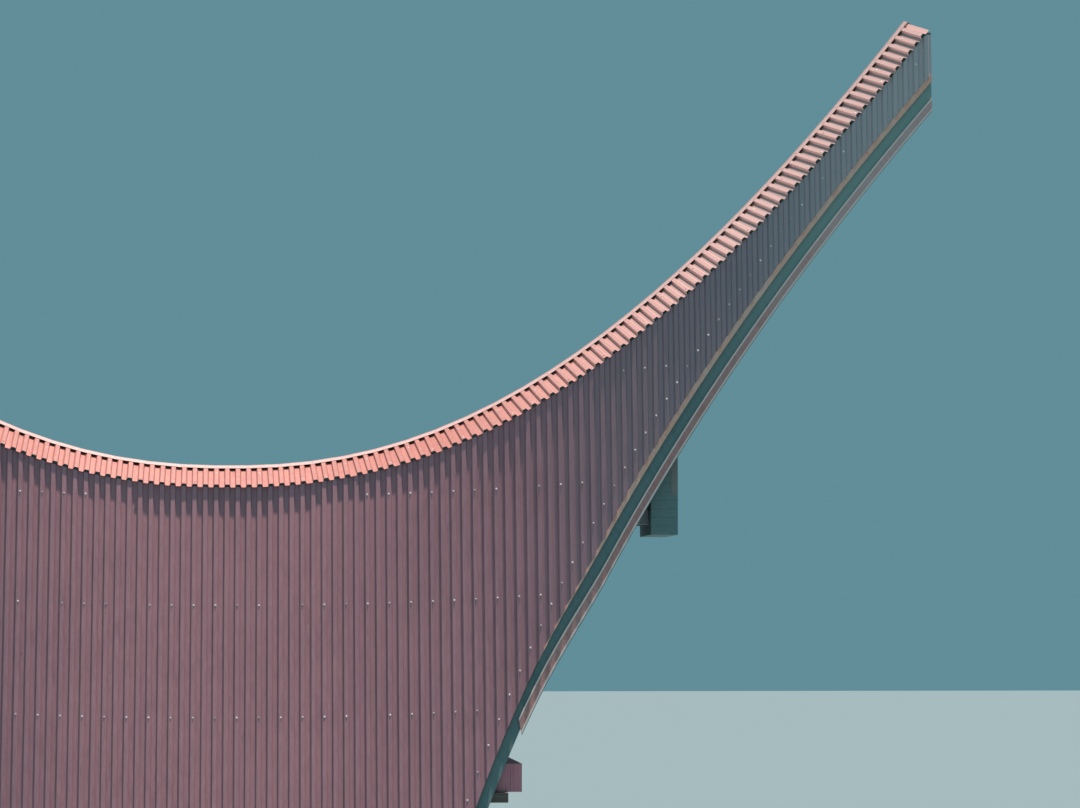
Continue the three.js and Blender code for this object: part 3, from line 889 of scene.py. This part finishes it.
purlins = bmesh.new()
purlin_top = course_under(PURLIN[1]) + SHORT_RAFTER_DEPTH + PAN_CLEAR + 2 * HAIR
for side in (-1, 1):
    for start, stop in PURLIN_SPANS:
        long_bar(purlins, (start, side * PURLIN[0], purlin_top),
                 (stop, side * PURLIN[1], purlin_top + PURLIN_DEPTH), PURLIN_CUTS)
for corner in purlins.verts:
    corner.co.z = below_ridge(corner.co.x, corner.co.z)
bmesh.ops.recalc_face_normals(purlins, faces=purlins.faces)
purlin_piece = as_object(purlins, "head_purlins", frame_along)
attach(purlin_piece, "root")


# Roof lining: close boards of bare wood, nailed across the rafters under the sheets.
# Only their under side shows, from below the eaves and the prows.
LINING_DARK = (0.13, 0.105, 0.080, 1)
LINING_PALE = (0.26, 0.22, 0.175, 1)
LINING_BOARD = 0.18
LINING_FACE = 0.060
LINING_THICK = 0.043
LINING_STEP = 0.15
LINING_CUTS = 8
TIP = 13.3
TIP_CUT_START = 13.2
TIP_CUT = 1.3


def along_object(tree, axis):
    """The place along one axis of the object."""
    return add_node(tree, "ShaderNodeSeparateXYZ", {"Vector": object_place(tree)}).outputs[axis]


def tip_cut(x):
    """How much lower the slope ends at its outer corner, beside the last sheet of the course."""
    return max(0.0, abs(x) - TIP_CUT_START) * TIP_CUT


def strip_of_cells(shape, count, place):
    """A strip of cells one beside the other. `place` sets each corner by its number across and
    by whether it is at the far side."""
    grid = bmesh.ops.create_grid(shape, x_segments=count, y_segments=1, size=1)["verts"]
    ordered = sorted(grid, key=lambda corner: (round((corner.co.x + 1) / 2 * count), corner.co.y))
    for number, corner in enumerate(ordered):
        corner.co = place(number // 2, number % 2 == 1)
    return ordered


def face_outward(shape, way):
    """Turns an open sheet's faces to the weather."""
    bmesh.ops.recalc_face_normals(shape, faces=shape.faces)
    if sum(face.normal.dot(way) * face.calc_area() for face in shape.faces) < 0:
        bmesh.ops.reverse_faces(shape, faces=shape.faces)


def give_thickness(piece, thickness):
    """Gives a sheet or board its thickness, on the side away from the weather."""
    plate = piece.modifiers.new("thickness", "SOLIDIFY")
    plate.thickness = thickness
    plate.offset = -1
    plate.use_even_offset = False


board_joints, entry = new_group("board_joints", Across="Float", Width="Float")
count = math_chain(board_joints, entry["Across"], ("DIVIDE", entry["Width"]))
number = math_chain(board_joints, count, ("FLOOR",))
tint = add_node(board_joints, "ShaderNodeTexWhiteNoise", {"W": number}, noise_dimensions="1D")
away = math_chain(board_joints, count, ("FRACT",), ("SUBTRACT", 0.5), ("ABSOLUTE",))
joint = spread(board_joints, away, 0.465, 0.495)
group_outputs(board_joints, Tint=tint.outputs["Value"], Joint=joint)

lining_finish = wood_finish("lining_wood", LINING_DARK, LINING_PALE, GRAIN_TURNS["along"],
                            scale=22, roughness=0.85, cracks=0.3)
tree = lining_finish.node_tree
boards = use_group(tree, board_joints, Across=along_object(tree, "Z"), Width=LINING_BOARD)
paint_over(lining_finish, spread(tree, boards["Tint"], high=0.35), darker(LINING_DARK, 0.6))
paint_over(lining_finish, boards["Joint"], darker(LINING_DARK, 0.25))

steps = int(TIP / LINING_STEP)
lining_places = sorted({step * LINING_STEP for step in range(-steps, steps + 1)}
                       | {-TIP, -EAVE_CORNER, EAVE_CORNER, TIP})
for side_name, side in SIDES.items():
    lining = bmesh.new()

    def on_lining(number, head):
        x = lining_places[number]
        z = slope_head(x, LINING_FACE, PAN_CLEAR)[1] - tip_cut(x) if head else lining_foot(x)
        return Vector((x, side * (slope_face(x, z) - LINING_FACE), z))

    strip_of_cells(lining, len(lining_places) - 1, on_lining)
    uprights = [edge for edge in lining.edges
                if abs(edge.verts[0].co.x - edge.verts[1].co.x) < HAIR]
    bmesh.ops.subdivide_edges(lining, edges=uprights, cuts=LINING_CUTS, use_grid_fill=True)
    face_outward(lining, Vector((0, side, 0)))
    piece = as_object(lining, f"lining_boards_{side_name}", lining_finish)
    give_thickness(piece, LINING_THICK)
    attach(piece, "root")
    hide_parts(f"lining_{side_name}")


# Rake boards: broad boards along the four raking edges, painted dark green-grey.
# They are bent to the curve and nailed to the underside of the lining.
RAKE_LEAN = 58
DARK_FADE = ((0.28, 0.43, 0.40, 1), (8.6, 11.4), 0.7)


def fade_by_reach(finish, colour, span, most, share=1.0):
    """Mixes a colour into a finish, more and more towards both prows: up to a most, over a
    span of the distance from the middle, and times a share."""
    tree = finish.node_tree
    reach = math_chain(tree, along_object(tree, "X"), ("ABSOLUTE",))
    amount = spread(tree, reach, *span, high=most)
    paint_over(finish, math_chain(tree, amount, ("MULTIPLY", share)), colour)


def rake_turn(away):
    """The turn of wood grain that runs along a raking edge."""
    return (0, math.radians(-RAKE_LEAN * away), 0)


rake_paint = {}
for end, away in ENDS.items():
    rake_paint[end] = wood_finish(f"rake_dark_{end}", DARK_PAINT, DARK_PAINT_PALE, rake_turn(away),
                                  scale=14, roughness=0.6, relief=0.0015, cracks=0.2)
    fade_by_reach(rake_paint[end], *DARK_FADE)
    for side in SIDES:
        refinish(f"rake_board_{side}_{end}", rake_paint[end])


# Verge boards: thin weathered boards of bare wood along the raking edges, between the sheets
# and the dark boards. They face the lining's edge and run out where it narrows near the eaves.
VERGE_BOARD_START = 5.75
VERGE_BOARD_INSETS = (0.038, 0.059)
VERGE_CUTS = 60
VERGE_GAP = 0.002
VERGE_BARE = ((5.7, 0.16), (6.3, 0.3), (6.75, 0.42), (7.5, 1.0))
RAKE_END = TIP - HAIR
TAN_DARK = (0.88, 0.43, 0.32, 1)
TAN_PALE = (0.97, 0.56, 0.44, 1)


def from_table(table, at):
    """Value at a place, on straight lines between the entries of a table."""
    if at <= table[0][0]:
        return table[0][1]
    for (x0, value0), (x1, value1) in zip(table, table[1:]):
        if at <= x1:
            return value0 + (value1 - value0) * (at - x0) / (x1 - x0)
    return table[-1][1]


def sheet_foot(x):
    """Height of the sheets' cut edge, which leaves less of the lining bare low on the rake."""
    bare = from_table(VERGE_BARE, abs(x)) * LINING_EDGE * verge_stretch(x)
    return lower_edge(x) - max(0.0, lining_edge(x) - bare)


for end, away in ENDS.items():
    tan_wood = wood_finish(f"verge_tan_{end}", TAN_DARK, TAN_PALE, rake_turn(away),
                           scale=16, relief=0.002, cracks=0.25)
    verge = bmesh.new()
    for side in (-1, 1):
        near, far = VERGE_BOARD_INSETS
        long_bar(verge, (VERGE_BOARD_START, side * near, 0.0), (RAKE_END, side * far, 1.0),
                 VERGE_CUTS)
    for corner in verge.verts:
        x, inset, share = corner.co
        top, foot = sheet_foot(x) - VERGE_GAP, lining_foot(x) + VERGE_GAP
        z = top - share * (top - foot)
        corner.co = Vector((away * x, math.copysign(slope_face(x, z), inset) - inset, z))
    bmesh.ops.recalc_face_normals(verge, faces=verge.faces)
    piece = as_object(verge, f"verge_boards_{end}", tan_wood)
    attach(piece, "root")


# Rake trims: narrow red-brown boards nailed on the outer edge of the dark boards, which they
# lap more at their lower ends. Under each outer edge runs a thin dark strip that stands for the
# shadow line there: painted shade.
TRIM_TOP = 0.215
TRIM_WIDTH = 0.16
TRIM_FOOT = TRIM_TOP + TRIM_WIDTH
TRIM_START = 5.37
TRIM_END_CUT = 0.05
TRIM_FACE = 0.075
TRIM_THICK = 0.03
TRIM_LAPS = ((5.3, 0.115), (6.1, 0.065), (7.0, 0.012))
TRIM_CUTS = 90
# Painted shade: the thin dark strip under each trim's outer edge.
SHADOW_LINE = (0.0032, 0.016)
SHADOW_LINE_SET_BACK = 0.006
RED_DARK = (0.44, 0.19, 0.18, 1)
RED_PALE = (0.61, 0.30, 0.285, 1)
RED_FADE = ((0.80, 0.72, 0.72, 1), (9.4, 11.6), 0.3)


def trim_bar(shape, upper, lower, face, back, finish=0):
    """Adds a strip along a raking edge, still straight: its heights are depths below the
    lining's edge, and its face and back are insets behind the red-brown boards' face."""
    long_bar(shape, (TRIM_START, face, upper), (RAKE_END, back, lower), TRIM_CUTS, finish)


def bend_to_rake(shape, away, side):
    """Bends such strips to their raking edge."""
    for corner in shape.verts:
        x, inset, depth = corner.co
        if x < TRIM_START + HAIR:
            x += TRIM_END_CUT * (depth - TRIM_TOP) / TRIM_WIDTH
        depth -= from_table(TRIM_LAPS, x)
        z = lining_foot(x) - depth * verge_stretch(x)
        corner.co = Vector((away * x, side * (slope_face(x, z) - TRIM_FACE - inset), z))
    bmesh.ops.recalc_face_normals(shape, faces=shape.faces)


for end, away in ENDS.items():
    red_paint = wood_finish(f"rake_red_{end}", RED_DARK, RED_PALE, rake_turn(away),
                            scale=20, roughness=0.6, relief=0.0015, cracks=0.3)
    fade_by_reach(red_paint, *RED_FADE)
    for side_name, side in SIDES.items():
        trim = bmesh.new()
        trim_bar(trim, TRIM_TOP, TRIM_FOOT, 0.0, TRIM_THICK)
        # Painted shade: a thin strip in the dark boards' paint under the outer edge, for the
        # shadow line there.
        trim_bar(trim, TRIM_FOOT + SHADOW_LINE[0], TRIM_FOOT + SHADOW_LINE[1], SHADOW_LINE_SET_BACK, TRIM_THICK, 1)
        bend_to_rake(trim, away, side)
        piece = as_object(trim, f"rake_trim_boards_{side_name}_{end}", red_paint, rake_paint[end])
        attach(piece, "root")
        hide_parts(f"rake_trim_{side_name}_{end}")


# Metal edgings: folded strips of pale painted sheet on the red-brown boards.
# One covers the joint with the dark board, and the other wraps the outer edge.
EDGING = 0.028
EDGING_THICK = 0.003
EDGING_LAP = 0.0005
METAL_DARK = (0.86, 0.60, 0.54, 1)
METAL_PALE = (0.99, 0.80, 0.75, 1)

metal_finish, tree = new_finish("edging_metal", METAL_DARK, roughness=0.45, metallic=0.1)
dull = clouds(tree, object_place(tree), scale=7, detail=6, roughness=0.7)
paint_over(metal_finish, dull, METAL_PALE)
feed(metal_finish, "Roughness", spread(tree, dull, low=0.3, high=0.6))
bump(metal_finish, dull, distance=0.001)

for side_name, side in SIDES.items():
    for end, away in ENDS.items():
        edging = bmesh.new()
        trim_bar(edging, TRIM_TOP - EDGING_LAP, TRIM_TOP + EDGING, -EDGING_THICK, 0.0)
        trim_bar(edging, TRIM_FOOT - EDGING, TRIM_FOOT + EDGING_THICK, -EDGING_THICK, 0.0)
        trim_bar(edging, TRIM_FOOT, TRIM_FOOT + EDGING_THICK, 0.0, TRIM_THICK)
        bend_to_rake(edging, away, side)
        piece = as_object(edging, f"rake_edging_{side_name}_{end}", metal_finish)
        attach(piece, "root")


# Roof sheets: steel sheets with trapezoidal ribs, maroon paint faded by sun and rain.
# Each covers five ribs from the ridge course to the eave and laps the next one's first rib.
RIB_PITCH = 0.2
RIB_TOP_HALF = 0.036
RIB_FOOT_HALF = 0.060
RIB_BEND = 0.015
RIB_BEND_CUTS = 3
SHEET_RIBS = 5
LAST_RIB = 66
SHEET_INSET = 0.003
LAP_RISE = 0.0018
SHEET_GLOSS = 0.9
DULLING = 0.12
PAN_SHARE = (0.26, 0.34)
SLOPE_DARK = (0.357, 0.168, 0.202, 1)
SLOPE_PALE = (0.494, 0.239, 0.278, 1)
SLOPE_DIRT = (0.231, 0.133, 0.161, 1)
# Painted shade: a dark teal mixed into the sheets towards both prows, the hue of the shade there.
SHADE_TINT_FADE = ((0.14, 0.25, 0.28, 1), (5.5, 10.5), 0.55)
# Painted light: a paler tone mixed into the pans towards both prows, to lift the shade that falls
# between the ribs.
PAN_LIGHT_FADE = ((0.58, 0.43, 0.50, 1), (5.5, 10.5), 0.5)
# A paler grey mixed into the sheets near the tips.
TIP_PALE_FADE = ((0.60, 0.56, 0.57, 1), (9.6, 12.6), 0.65)

weathering, entry = new_group("weathering", Place="Vector", Run="Vector")
drawn = stretch(weathering, entry["Place"], entry["Run"])
streaks = clouds(weathering, drawn, scale=14, detail=6, roughness=0.7)
patches = clouds(weathering, entry["Place"], scale=0.55, detail=5)
dust = clouds(weathering, entry["Place"], scale=45, detail=5)
group_outputs(weathering, Streaks=streaks, Patches=patches, Dust=dust)


def sheet_finish(name, dark, pale, dirt, run, sheet_width, roughness):
    """Painted steel sheet: each sheet its own shade, streaked along the run of its ribs."""
    finish, tree = new_finish(name, dark, roughness)
    shader = tree.nodes["Principled BSDF"]
    shader.inputs["Specular IOR Level"].default_value = SHEET_GLOSS
    wear = use_group(tree, weathering, Place=object_place(tree), Run=run)
    sheets = use_group(tree, board_joints, Across=along_object(tree, "X"), Width=sheet_width)
    paint_over(finish, spread(tree, wear["Streaks"], 0.32, 0.68), pale)
    paint_over(finish, spread(tree, sheets["Tint"], high=0.35), dark)
    paint_over(finish, spread(tree, wear["Patches"], 0.45, 0.75, high=0.45), pale)
    paint_over(finish, spread(tree, wear["Dust"], 0.55, 0.8, high=0.5), dirt)
    feed(finish, "Roughness",
         spread(tree, wear["Streaks"], low=roughness - DULLING, high=roughness + DULLING))
    height = math_chain(tree, wear["Patches"], ("MULTIPLY_ADD", 3.0, wear["Dust"]))
    bump(finish, height, distance=0.0012)
    return finish


def sheets_between(last, ribs):
    """The first and the last rib of each sheet, from one end of the roof to the other."""
    laps = sorted({-last, *range(-(last // ribs) * ribs, last, ribs), last})
    return list(zip(laps, laps[1:]))


def rib_columns(first, last, end_rib=math.inf, reach=0.0):
    """Columns across a sheet, as (place along the ridge, depth below the rib tops). A sheet at
    an end rib goes on to the roof's reach, and the others lap the next one."""
    columns = [(-reach, RIB_HEIGHT)] if first == -end_rib else []
    for rib in range(first, last + 1):
        lap = LAP_RISE if rib == last < end_rib else 0.0
        for offset, depth in ((-RIB_FOOT_HALF, RIB_HEIGHT), (-RIB_TOP_HALF, 0.0),
                              (RIB_TOP_HALF, 0.0), (RIB_FOOT_HALF, RIB_HEIGHT)):
            columns.append((rib * RIB_PITCH + offset, depth - lap))
    return columns + ([(reach, RIB_HEIGHT)] if last == end_rib else [])


def ribbed_sheet(shape, columns, place, pan_finish=0):
    """Rolls one sheet: a strip of cells whose corners `place` sets, with its bends rounded. The
    pans between its ribs take the finish of the given number."""
    grid = strip_of_cells(shape, len(columns) - 1,
                          lambda number, foot: place(*columns[number], foot))
    for number in range(1, len(columns) - 2):
        if min(columns[number][1], columns[number + 1][1]) > RIB_HEIGHT / 2:
            for face in set(grid[2 * number].link_faces) & set(grid[2 * number + 2].link_faces):
                face.material_index = pan_finish
    bends = [edge for edge in edges_at(grid) if len(edge.link_faces) == 2]
    bevel(shape, bends, RIB_BEND, RIB_BEND_CUTS)


slope_finish = sheet_finish("sheet_paint", SLOPE_DARK, SLOPE_PALE, SLOPE_DIRT, (1.0, 1.0, 0.035),
                            SHEET_RIBS * RIB_PITCH, roughness=0.6)
tree = slope_finish.node_tree
rib_share = math_chain(tree, along_object(tree, "X"), ("MULTIPLY", 1 / RIB_PITCH), ("ADD", 0.5),
                       ("FRACT",), ("SUBTRACT", 0.5), ("ABSOLUTE",))
# Painted shade: the sheets turn dark teal towards both prows.
fade_by_reach(slope_finish, *SHADE_TINT_FADE)
# Painted light: the pans between the ribs turn paler towards both prows.
fade_by_reach(slope_finish, *PAN_LIGHT_FADE, share=spread(tree, rib_share, *PAN_SHARE))
# The sheets turn paler grey near the tips.
fade_by_reach(slope_finish, *TIP_PALE_FADE)

for side_name, side in SIDES.items():

    def on_slope(along, depth, foot):
        z = slope_head(along, clear=PAN_CLEAR)[1] - tip_cut(along)
        z = sheet_foot(along) if foot else z
        return Vector((along, side * (slope_face(along, z) - SHEET_INSET - depth), z))

    slope = bmesh.new()
    for first, last in sheets_between(LAST_RIB, SHEET_RIBS):
        ribbed_sheet(slope, rib_columns(first, last, LAST_RIB, TIP), on_slope)
    face_outward(slope, Vector((0, side, 0)))
    piece = as_object(slope, f"slope_sheets_{side_name}", slope_finish)
    give_thickness(piece, STEEL)
    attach(piece, "root")
    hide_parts(f"roof_{side_name}")


# Slope screws: pale domed roofing screws with washers, driven through the rib tops.
# They stand on every second rib over each batten, and on every rib along the raking edges.
SCREW_RADIUS = 0.019
SCREW_HEIGHT = 0.013
SCREW_SIDES = 10
WASHER = (1.0, 0.85, 1 / 3, 1 / 6)
DOME = (0.75, 0.35, 2 / 3, 2 / 3)
SCREW_ROWS = (4.95, 6.92, 8.97, 11.0, 13.05, 15.1)
SCREW_ROW_RISE = 0.12
VERGE_ROW = 0.53
VERGE_ROW_CLEAR = 0.25
FOOT_CLEAR = 0.1
HEAD_CLEAR = 0.35
SCREW_MISSING = 0.06
SCREW_COLOUR = (0.88, 0.88, 0.86, 1)
SCREW_DULL = (0.40, 0.34, 0.34, 1)

screw_finish, tree = new_finish("screw_cap", SCREW_COLOUR, roughness=0.4, metallic=0.1)
cap_tone = clouds(tree, object_place(tree), scale=2.7, detail=4)
paint_over(screw_finish, spread(tree, cap_tone, 0.46, 0.58), SCREW_DULL)


def add_screw(shape, at, normal, size=1.0):
    """A screw that stands square on the sheet. Its washer and its domed head are cones, given by
    shares of its radius, below and above, and of its height, long and high up."""
    turn = Vector((0, 0, 1)).rotation_difference(normal).to_matrix().to_4x4()
    base = Matrix.Translation(at) @ turn @ Matrix.Scale(size, 4)
    for below, above, depth, rise in (WASHER, DOME):
        bmesh.ops.create_cone(
            shape, cap_ends=True, segments=SCREW_SIDES, radius1=SCREW_RADIUS * below,
            radius2=SCREW_RADIUS * above, depth=SCREW_HEIGHT * depth,
            matrix=base @ Matrix.Translation((0, 0, SCREW_HEIGHT * rise)),
        )


random.seed(8)
for side_name, side in SIDES.items():
    screws = bmesh.new()
    for rib in range(-LAST_RIB, LAST_RIB + 1):
        x = rib * RIB_PITCH
        edge = lower_edge(x)
        rise = SCREW_ROW_RISE * (ridge_height(x) - RIDGE_MIDDLE)
        heights = [row + rise for row in SCREW_ROWS if rib % 2]
        if abs(x) > EAVE_CORNER:
            heights = [z for z in heights if z > edge + VERGE_ROW + VERGE_ROW_CLEAR]
            heights.append(edge + VERGE_ROW)
        for z in heights:
            if edge + FOOT_CLEAR < z < slope_head(x)[1] - HEAD_CLEAR:
                if random.random() > SCREW_MISSING:
                    add_screw(screws, Vector((x, side * (slope_face(x, z) - SHEET_INSET), z)),
                              Vector((0, side, slope_lean(x))).normalized())
    piece = as_object(screws, f"slope_screws_{side_name}", screw_finish)
    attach(piece, "root")


# Ridge course: short ribbed sheets of sun-bleached red, laid nearly flat along the ridge.
# Each covers four ribs, is turned a little from the next, and is screwed down through its ribs.
COURSE_RIBS = 4
COURSE_WIDTHS = (1.02, 1.05)
COURSE_START = 0.004
COURSE_TURNS = (
    (-13.3, -36), (-12.3, -44), (-10.7, -45), (-8.5, -35), (-6.0, -18), (-4.3, -4), (-3.2, -1),
    (-1.5, 0), (1.0, 1.4), (2.3, 8), (6.0, 29), (8.5, 31.5), (10.7, 48), (12.3, 44), (13.3, 36),
)
COURSE_SCREW_ROWS = (0.42, 0.93)
COURSE_DARK = (0.43, 0.168, 0.138, 1)
COURSE_PALE = (0.53, 0.226, 0.188, 1)
COURSE_DIRT = (0.31, 0.138, 0.118, 1)
BLEACH_FADE = ((0.80, 0.57, 0.53, 1), (4.0, 9.8), 0.7)
# Painted shade: a dull grey-brown mixed into the course's pans towards both prows, where the ribs
# shade them.
PAN_SHADE_FADE = ((0.33, 0.28, 0.27, 1), (6.5, 10.8), 0.8)
ARC_STEP = 0.02

random.seed(21)
course_finish = sheet_finish("course_paint", COURSE_DARK, COURSE_PALE, COURSE_DIRT,
                             (1.0, 0.1, 1.0), COURSE_RIBS * RIB_PITCH, roughness=0.5)
fade_by_reach(course_finish, *BLEACH_FADE)
# The pans take a copy of the course paint that carries painted shade towards the prows.
course_pans = course_finish.copy()
course_pans.name = "course_pans"
fade_by_reach(course_pans, *PAN_SHADE_FADE)

ridge_end = slope_head(TIP)[0]
arc = [(0.0, 0.0)]
while arc[-1][1] < ridge_end:
    length, x = arc[-1]
    arc.append((length + ARC_STEP, x + ARC_STEP / math.sqrt(1 + ridge_slope(x) ** 2)))
RIDGE_LENGTH = arc[-2][0]
COURSE_LAST = int((RIDGE_LENGTH - RIB_PITCH / 2) / RIB_PITCH)


def ridge_point(length):
    """The point of the ridge line at a length along it from the middle."""
    place = min(abs(length), RIDGE_LENGTH) / ARC_STEP
    before = min(int(place), len(arc) - 2)
    part = place - before
    x = math.copysign(arc[before][1] * (1 - part) + arc[before + 1][1] * part, length)
    return Vector((x, 0, ridge_height(x)))


def below_course(first, last):
    """The way that is square below the ridge between two ribs, and the way that the ribs of a
    sheet between them run, both for a unit of depth below the ridge."""
    first, last = first * RIB_PITCH, last * RIB_PITCH
    rise = math.asin((ridge_point(last) - ridge_point(first)).normalized().z)
    turn = math.radians(from_table(COURSE_TURNS, ridge_point((first + last) / 2).x))
    square = Vector((math.sin(rise), 0, -math.cos(rise)))
    return square, Vector((math.sin(turn), 0, -math.cos(turn))) / math.cos(rise - turn)


def on_course(ways, side, along, depth, run):
    """A point of a course sheet, at a depth below its rib tops and a run down its slope."""
    below = ways[0] * (depth / math.cos(COURSE_PITCH) + HAIR)
    below += ways[1] * (run * math.sin(COURSE_PITCH))
    return ridge_point(along) + below + Vector((0, side * run * math.cos(COURSE_PITCH), 0))


def course_screw(shape, ways, side, along, depth, run, size=1.0):
    """Adds a screw that stands square on the course."""
    out = Vector((0, side * math.sin(COURSE_PITCH), 0))
    add_screw(shape, on_course(ways, side, along, depth, run),
              out - ways[0] * math.cos(COURSE_PITCH), size)


course_sheets = [(first, last, random.uniform(*COURSE_WIDTHS))
                 for first, last in sheets_between(COURSE_LAST, COURSE_RIBS)]
for side_name, side in SIDES.items():
    course = bmesh.new()
    for first, last, width in course_sheets:
        own_ways = next_ways = below_course(first, last)
        if last < COURSE_LAST:
            next_ways = below_course(last, min(COURSE_LAST, last + COURSE_RIBS))

        def sheet_place(along, depth, foot):
            ways = next_ways if along > (last - 0.5) * RIB_PITCH else own_ways
            return on_course(ways, side, along, depth, width if foot else COURSE_START)

        ribbed_sheet(course, rib_columns(first, last, COURSE_LAST, RIDGE_LENGTH), sheet_place, 1)
    face_outward(course, Vector((0, 0, 1)))
    piece = as_object(course, f"course_sheets_{side_name}", course_finish, course_pans)
    give_thickness(piece, STEEL)
    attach(piece, "root")
    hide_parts(f"ridge_course_{side_name}")

    screws = bmesh.new()
    for first, last, width in course_sheets:
        for row in COURSE_SCREW_ROWS:
            if last - first > 1:
                rib = random.choice(range(first + 1, last))
                course_screw(screws, below_course(first, last), side, rib * RIB_PITCH, 0.0, row)
    piece = as_object(screws, f"course_screws_{side_name}", screw_finish)
    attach(piece, "root")


# Closure plugs: dark foam cut to the ribs, pushed into each rib under the course's lower edge.
# They close the ribs over the heads of the slope sheets. Their dark teal is partly painted shade,
# the shade inside the rib openings.
PLUG_RUN = 0.985
PLUG_CLEAR = 0.006
PLUG_FOOT = RIB_HEIGHT + PLUG_CLEAR + 0.0005
PLUG_THICK = 0.02
# Foam colours: dark teal, partly painted shade for the rib openings.
PLUG_DARK = (0.05, 0.085, 0.085, 1)
PLUG_PALE = (0.10, 0.16, 0.16, 1)

plug_finish, tree = new_finish("closure_foam", PLUG_DARK, roughness=0.95)
pores = clouds(tree, object_place(tree), scale=60, detail=5)
paint_over(plug_finish, pores, PLUG_PALE)
bump(plug_finish, pores, distance=0.002)

for side_name, side in SIDES.items():
    plugs = bmesh.new()
    for first, last, width in course_sheets:
        ways = below_course(first, last)
        for rib in range(first, last + (1 if last == COURSE_LAST else 0)):
            columns = rib_columns(rib, rib)

            def plug_place(number, top):
                along, depth = columns[number]
                depth = min(max(0.0, depth) + PLUG_CLEAR, PLUG_FOOT) if top else PLUG_FOOT
                return on_course(ways, side, along, depth, PLUG_RUN)

            strip_of_cells(plugs, len(columns) - 1, plug_place)
    face_outward(plugs, Vector((0, side, 0)))
    piece = as_object(plugs, f"closure_plugs_{side_name}", plug_finish)
    give_thickness(piece, PLUG_THICK)
    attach(piece, "root")


# Ridge strip: short folded lengths of pale flashing that ride on the rib tops along the ridge.
# Each has a raised crown, laps the next, is held by small screws, and leaves the pans open.
STRIP_LENGTH = 0.62
STRIP_LAP = 0.05
STRIP_HALF = 0.145
STRIP_HEM = 0.004
STRIP_LIFTS = (0.0018, 0.0035)
CROWN_HALF = 0.022
CROWN_RISE = 0.012
STRIP_SCREW_STEP = 2
STRIP_SCREW_ROW = 0.085
STRIP_SCREW_LIFT = 0.004
STRIP_SCREW_SIZE = 0.55
RUST_DARK = (0.16, 0.11, 0.10, 1)
RUST_PALE = (0.34, 0.26, 0.24, 1)
STRIP_PALE = (0.69, 0.49, 0.455, 1)
STRIP_DARK = (0.57, 0.37, 0.345, 1)
STRIP_DIRT = (0.42, 0.31, 0.29, 1)

strip_finish = sheet_finish("strip_paint", STRIP_DARK, STRIP_PALE, STRIP_DIRT, (1.0, 1.0, 1.0),
                            STRIP_LENGTH, roughness=0.45)
strip = bmesh.new()
strip_count = math.ceil(2 * RIDGE_LENGTH / STRIP_LENGTH)
strip_step = 2 * RIDGE_LENGTH / strip_count
half_section = ((STRIP_HALF, STRIP_HEM), (STRIP_HALF, 0.0), (CROWN_HALF, 0.0),
                (CROWN_HALF / 2, -CROWN_RISE))
section = [(-across, hem) for across, hem in half_section] + list(reversed(half_section))
for number in range(strip_count):
    start = -RIDGE_LENGTH + number * strip_step
    stop = min(RIDGE_LENGTH, start + strip_step + STRIP_LAP)
    square = below_course(start / RIB_PITCH, stop / RIB_PITCH)[0]

    def on_strip(place, far):
        across, hem = section[place]
        below = abs(across) * math.sin(COURSE_PITCH) + hem - STRIP_LIFTS[far]
        out = Vector((0, across * math.cos(COURSE_PITCH), 0))
        return ridge_point(stop if far else start) + square * below + out

    strip_of_cells(strip, len(section) - 1, on_strip)
face_outward(strip, Vector((0, 0, 1)))
strip_piece = as_object(strip, "ridge_flashing", strip_finish)
give_thickness(strip_piece, STEEL)
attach(strip_piece, "root")
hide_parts("ridge_strip")

rust_finish, tree = new_finish("screw_rust", RUST_DARK, roughness=0.7)
paint_over(rust_finish, clouds(tree, object_place(tree), scale=40, detail=4), RUST_PALE)
strip_screws = bmesh.new()
for rib in range(-COURSE_LAST, COURSE_LAST + 1, STRIP_SCREW_STEP):
    square = below_course(rib - 1, rib + 1)[0]
    for side in (-1, 1):
        course_screw(strip_screws, (square, square), side, rib * RIB_PITCH,
                     -STRIP_SCREW_LIFT * math.cos(COURSE_PITCH), STRIP_SCREW_ROW, STRIP_SCREW_SIZE)
screw_piece = as_object(strip_screws, "ridge_screws", rust_finish)
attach(screw_piece, "root")
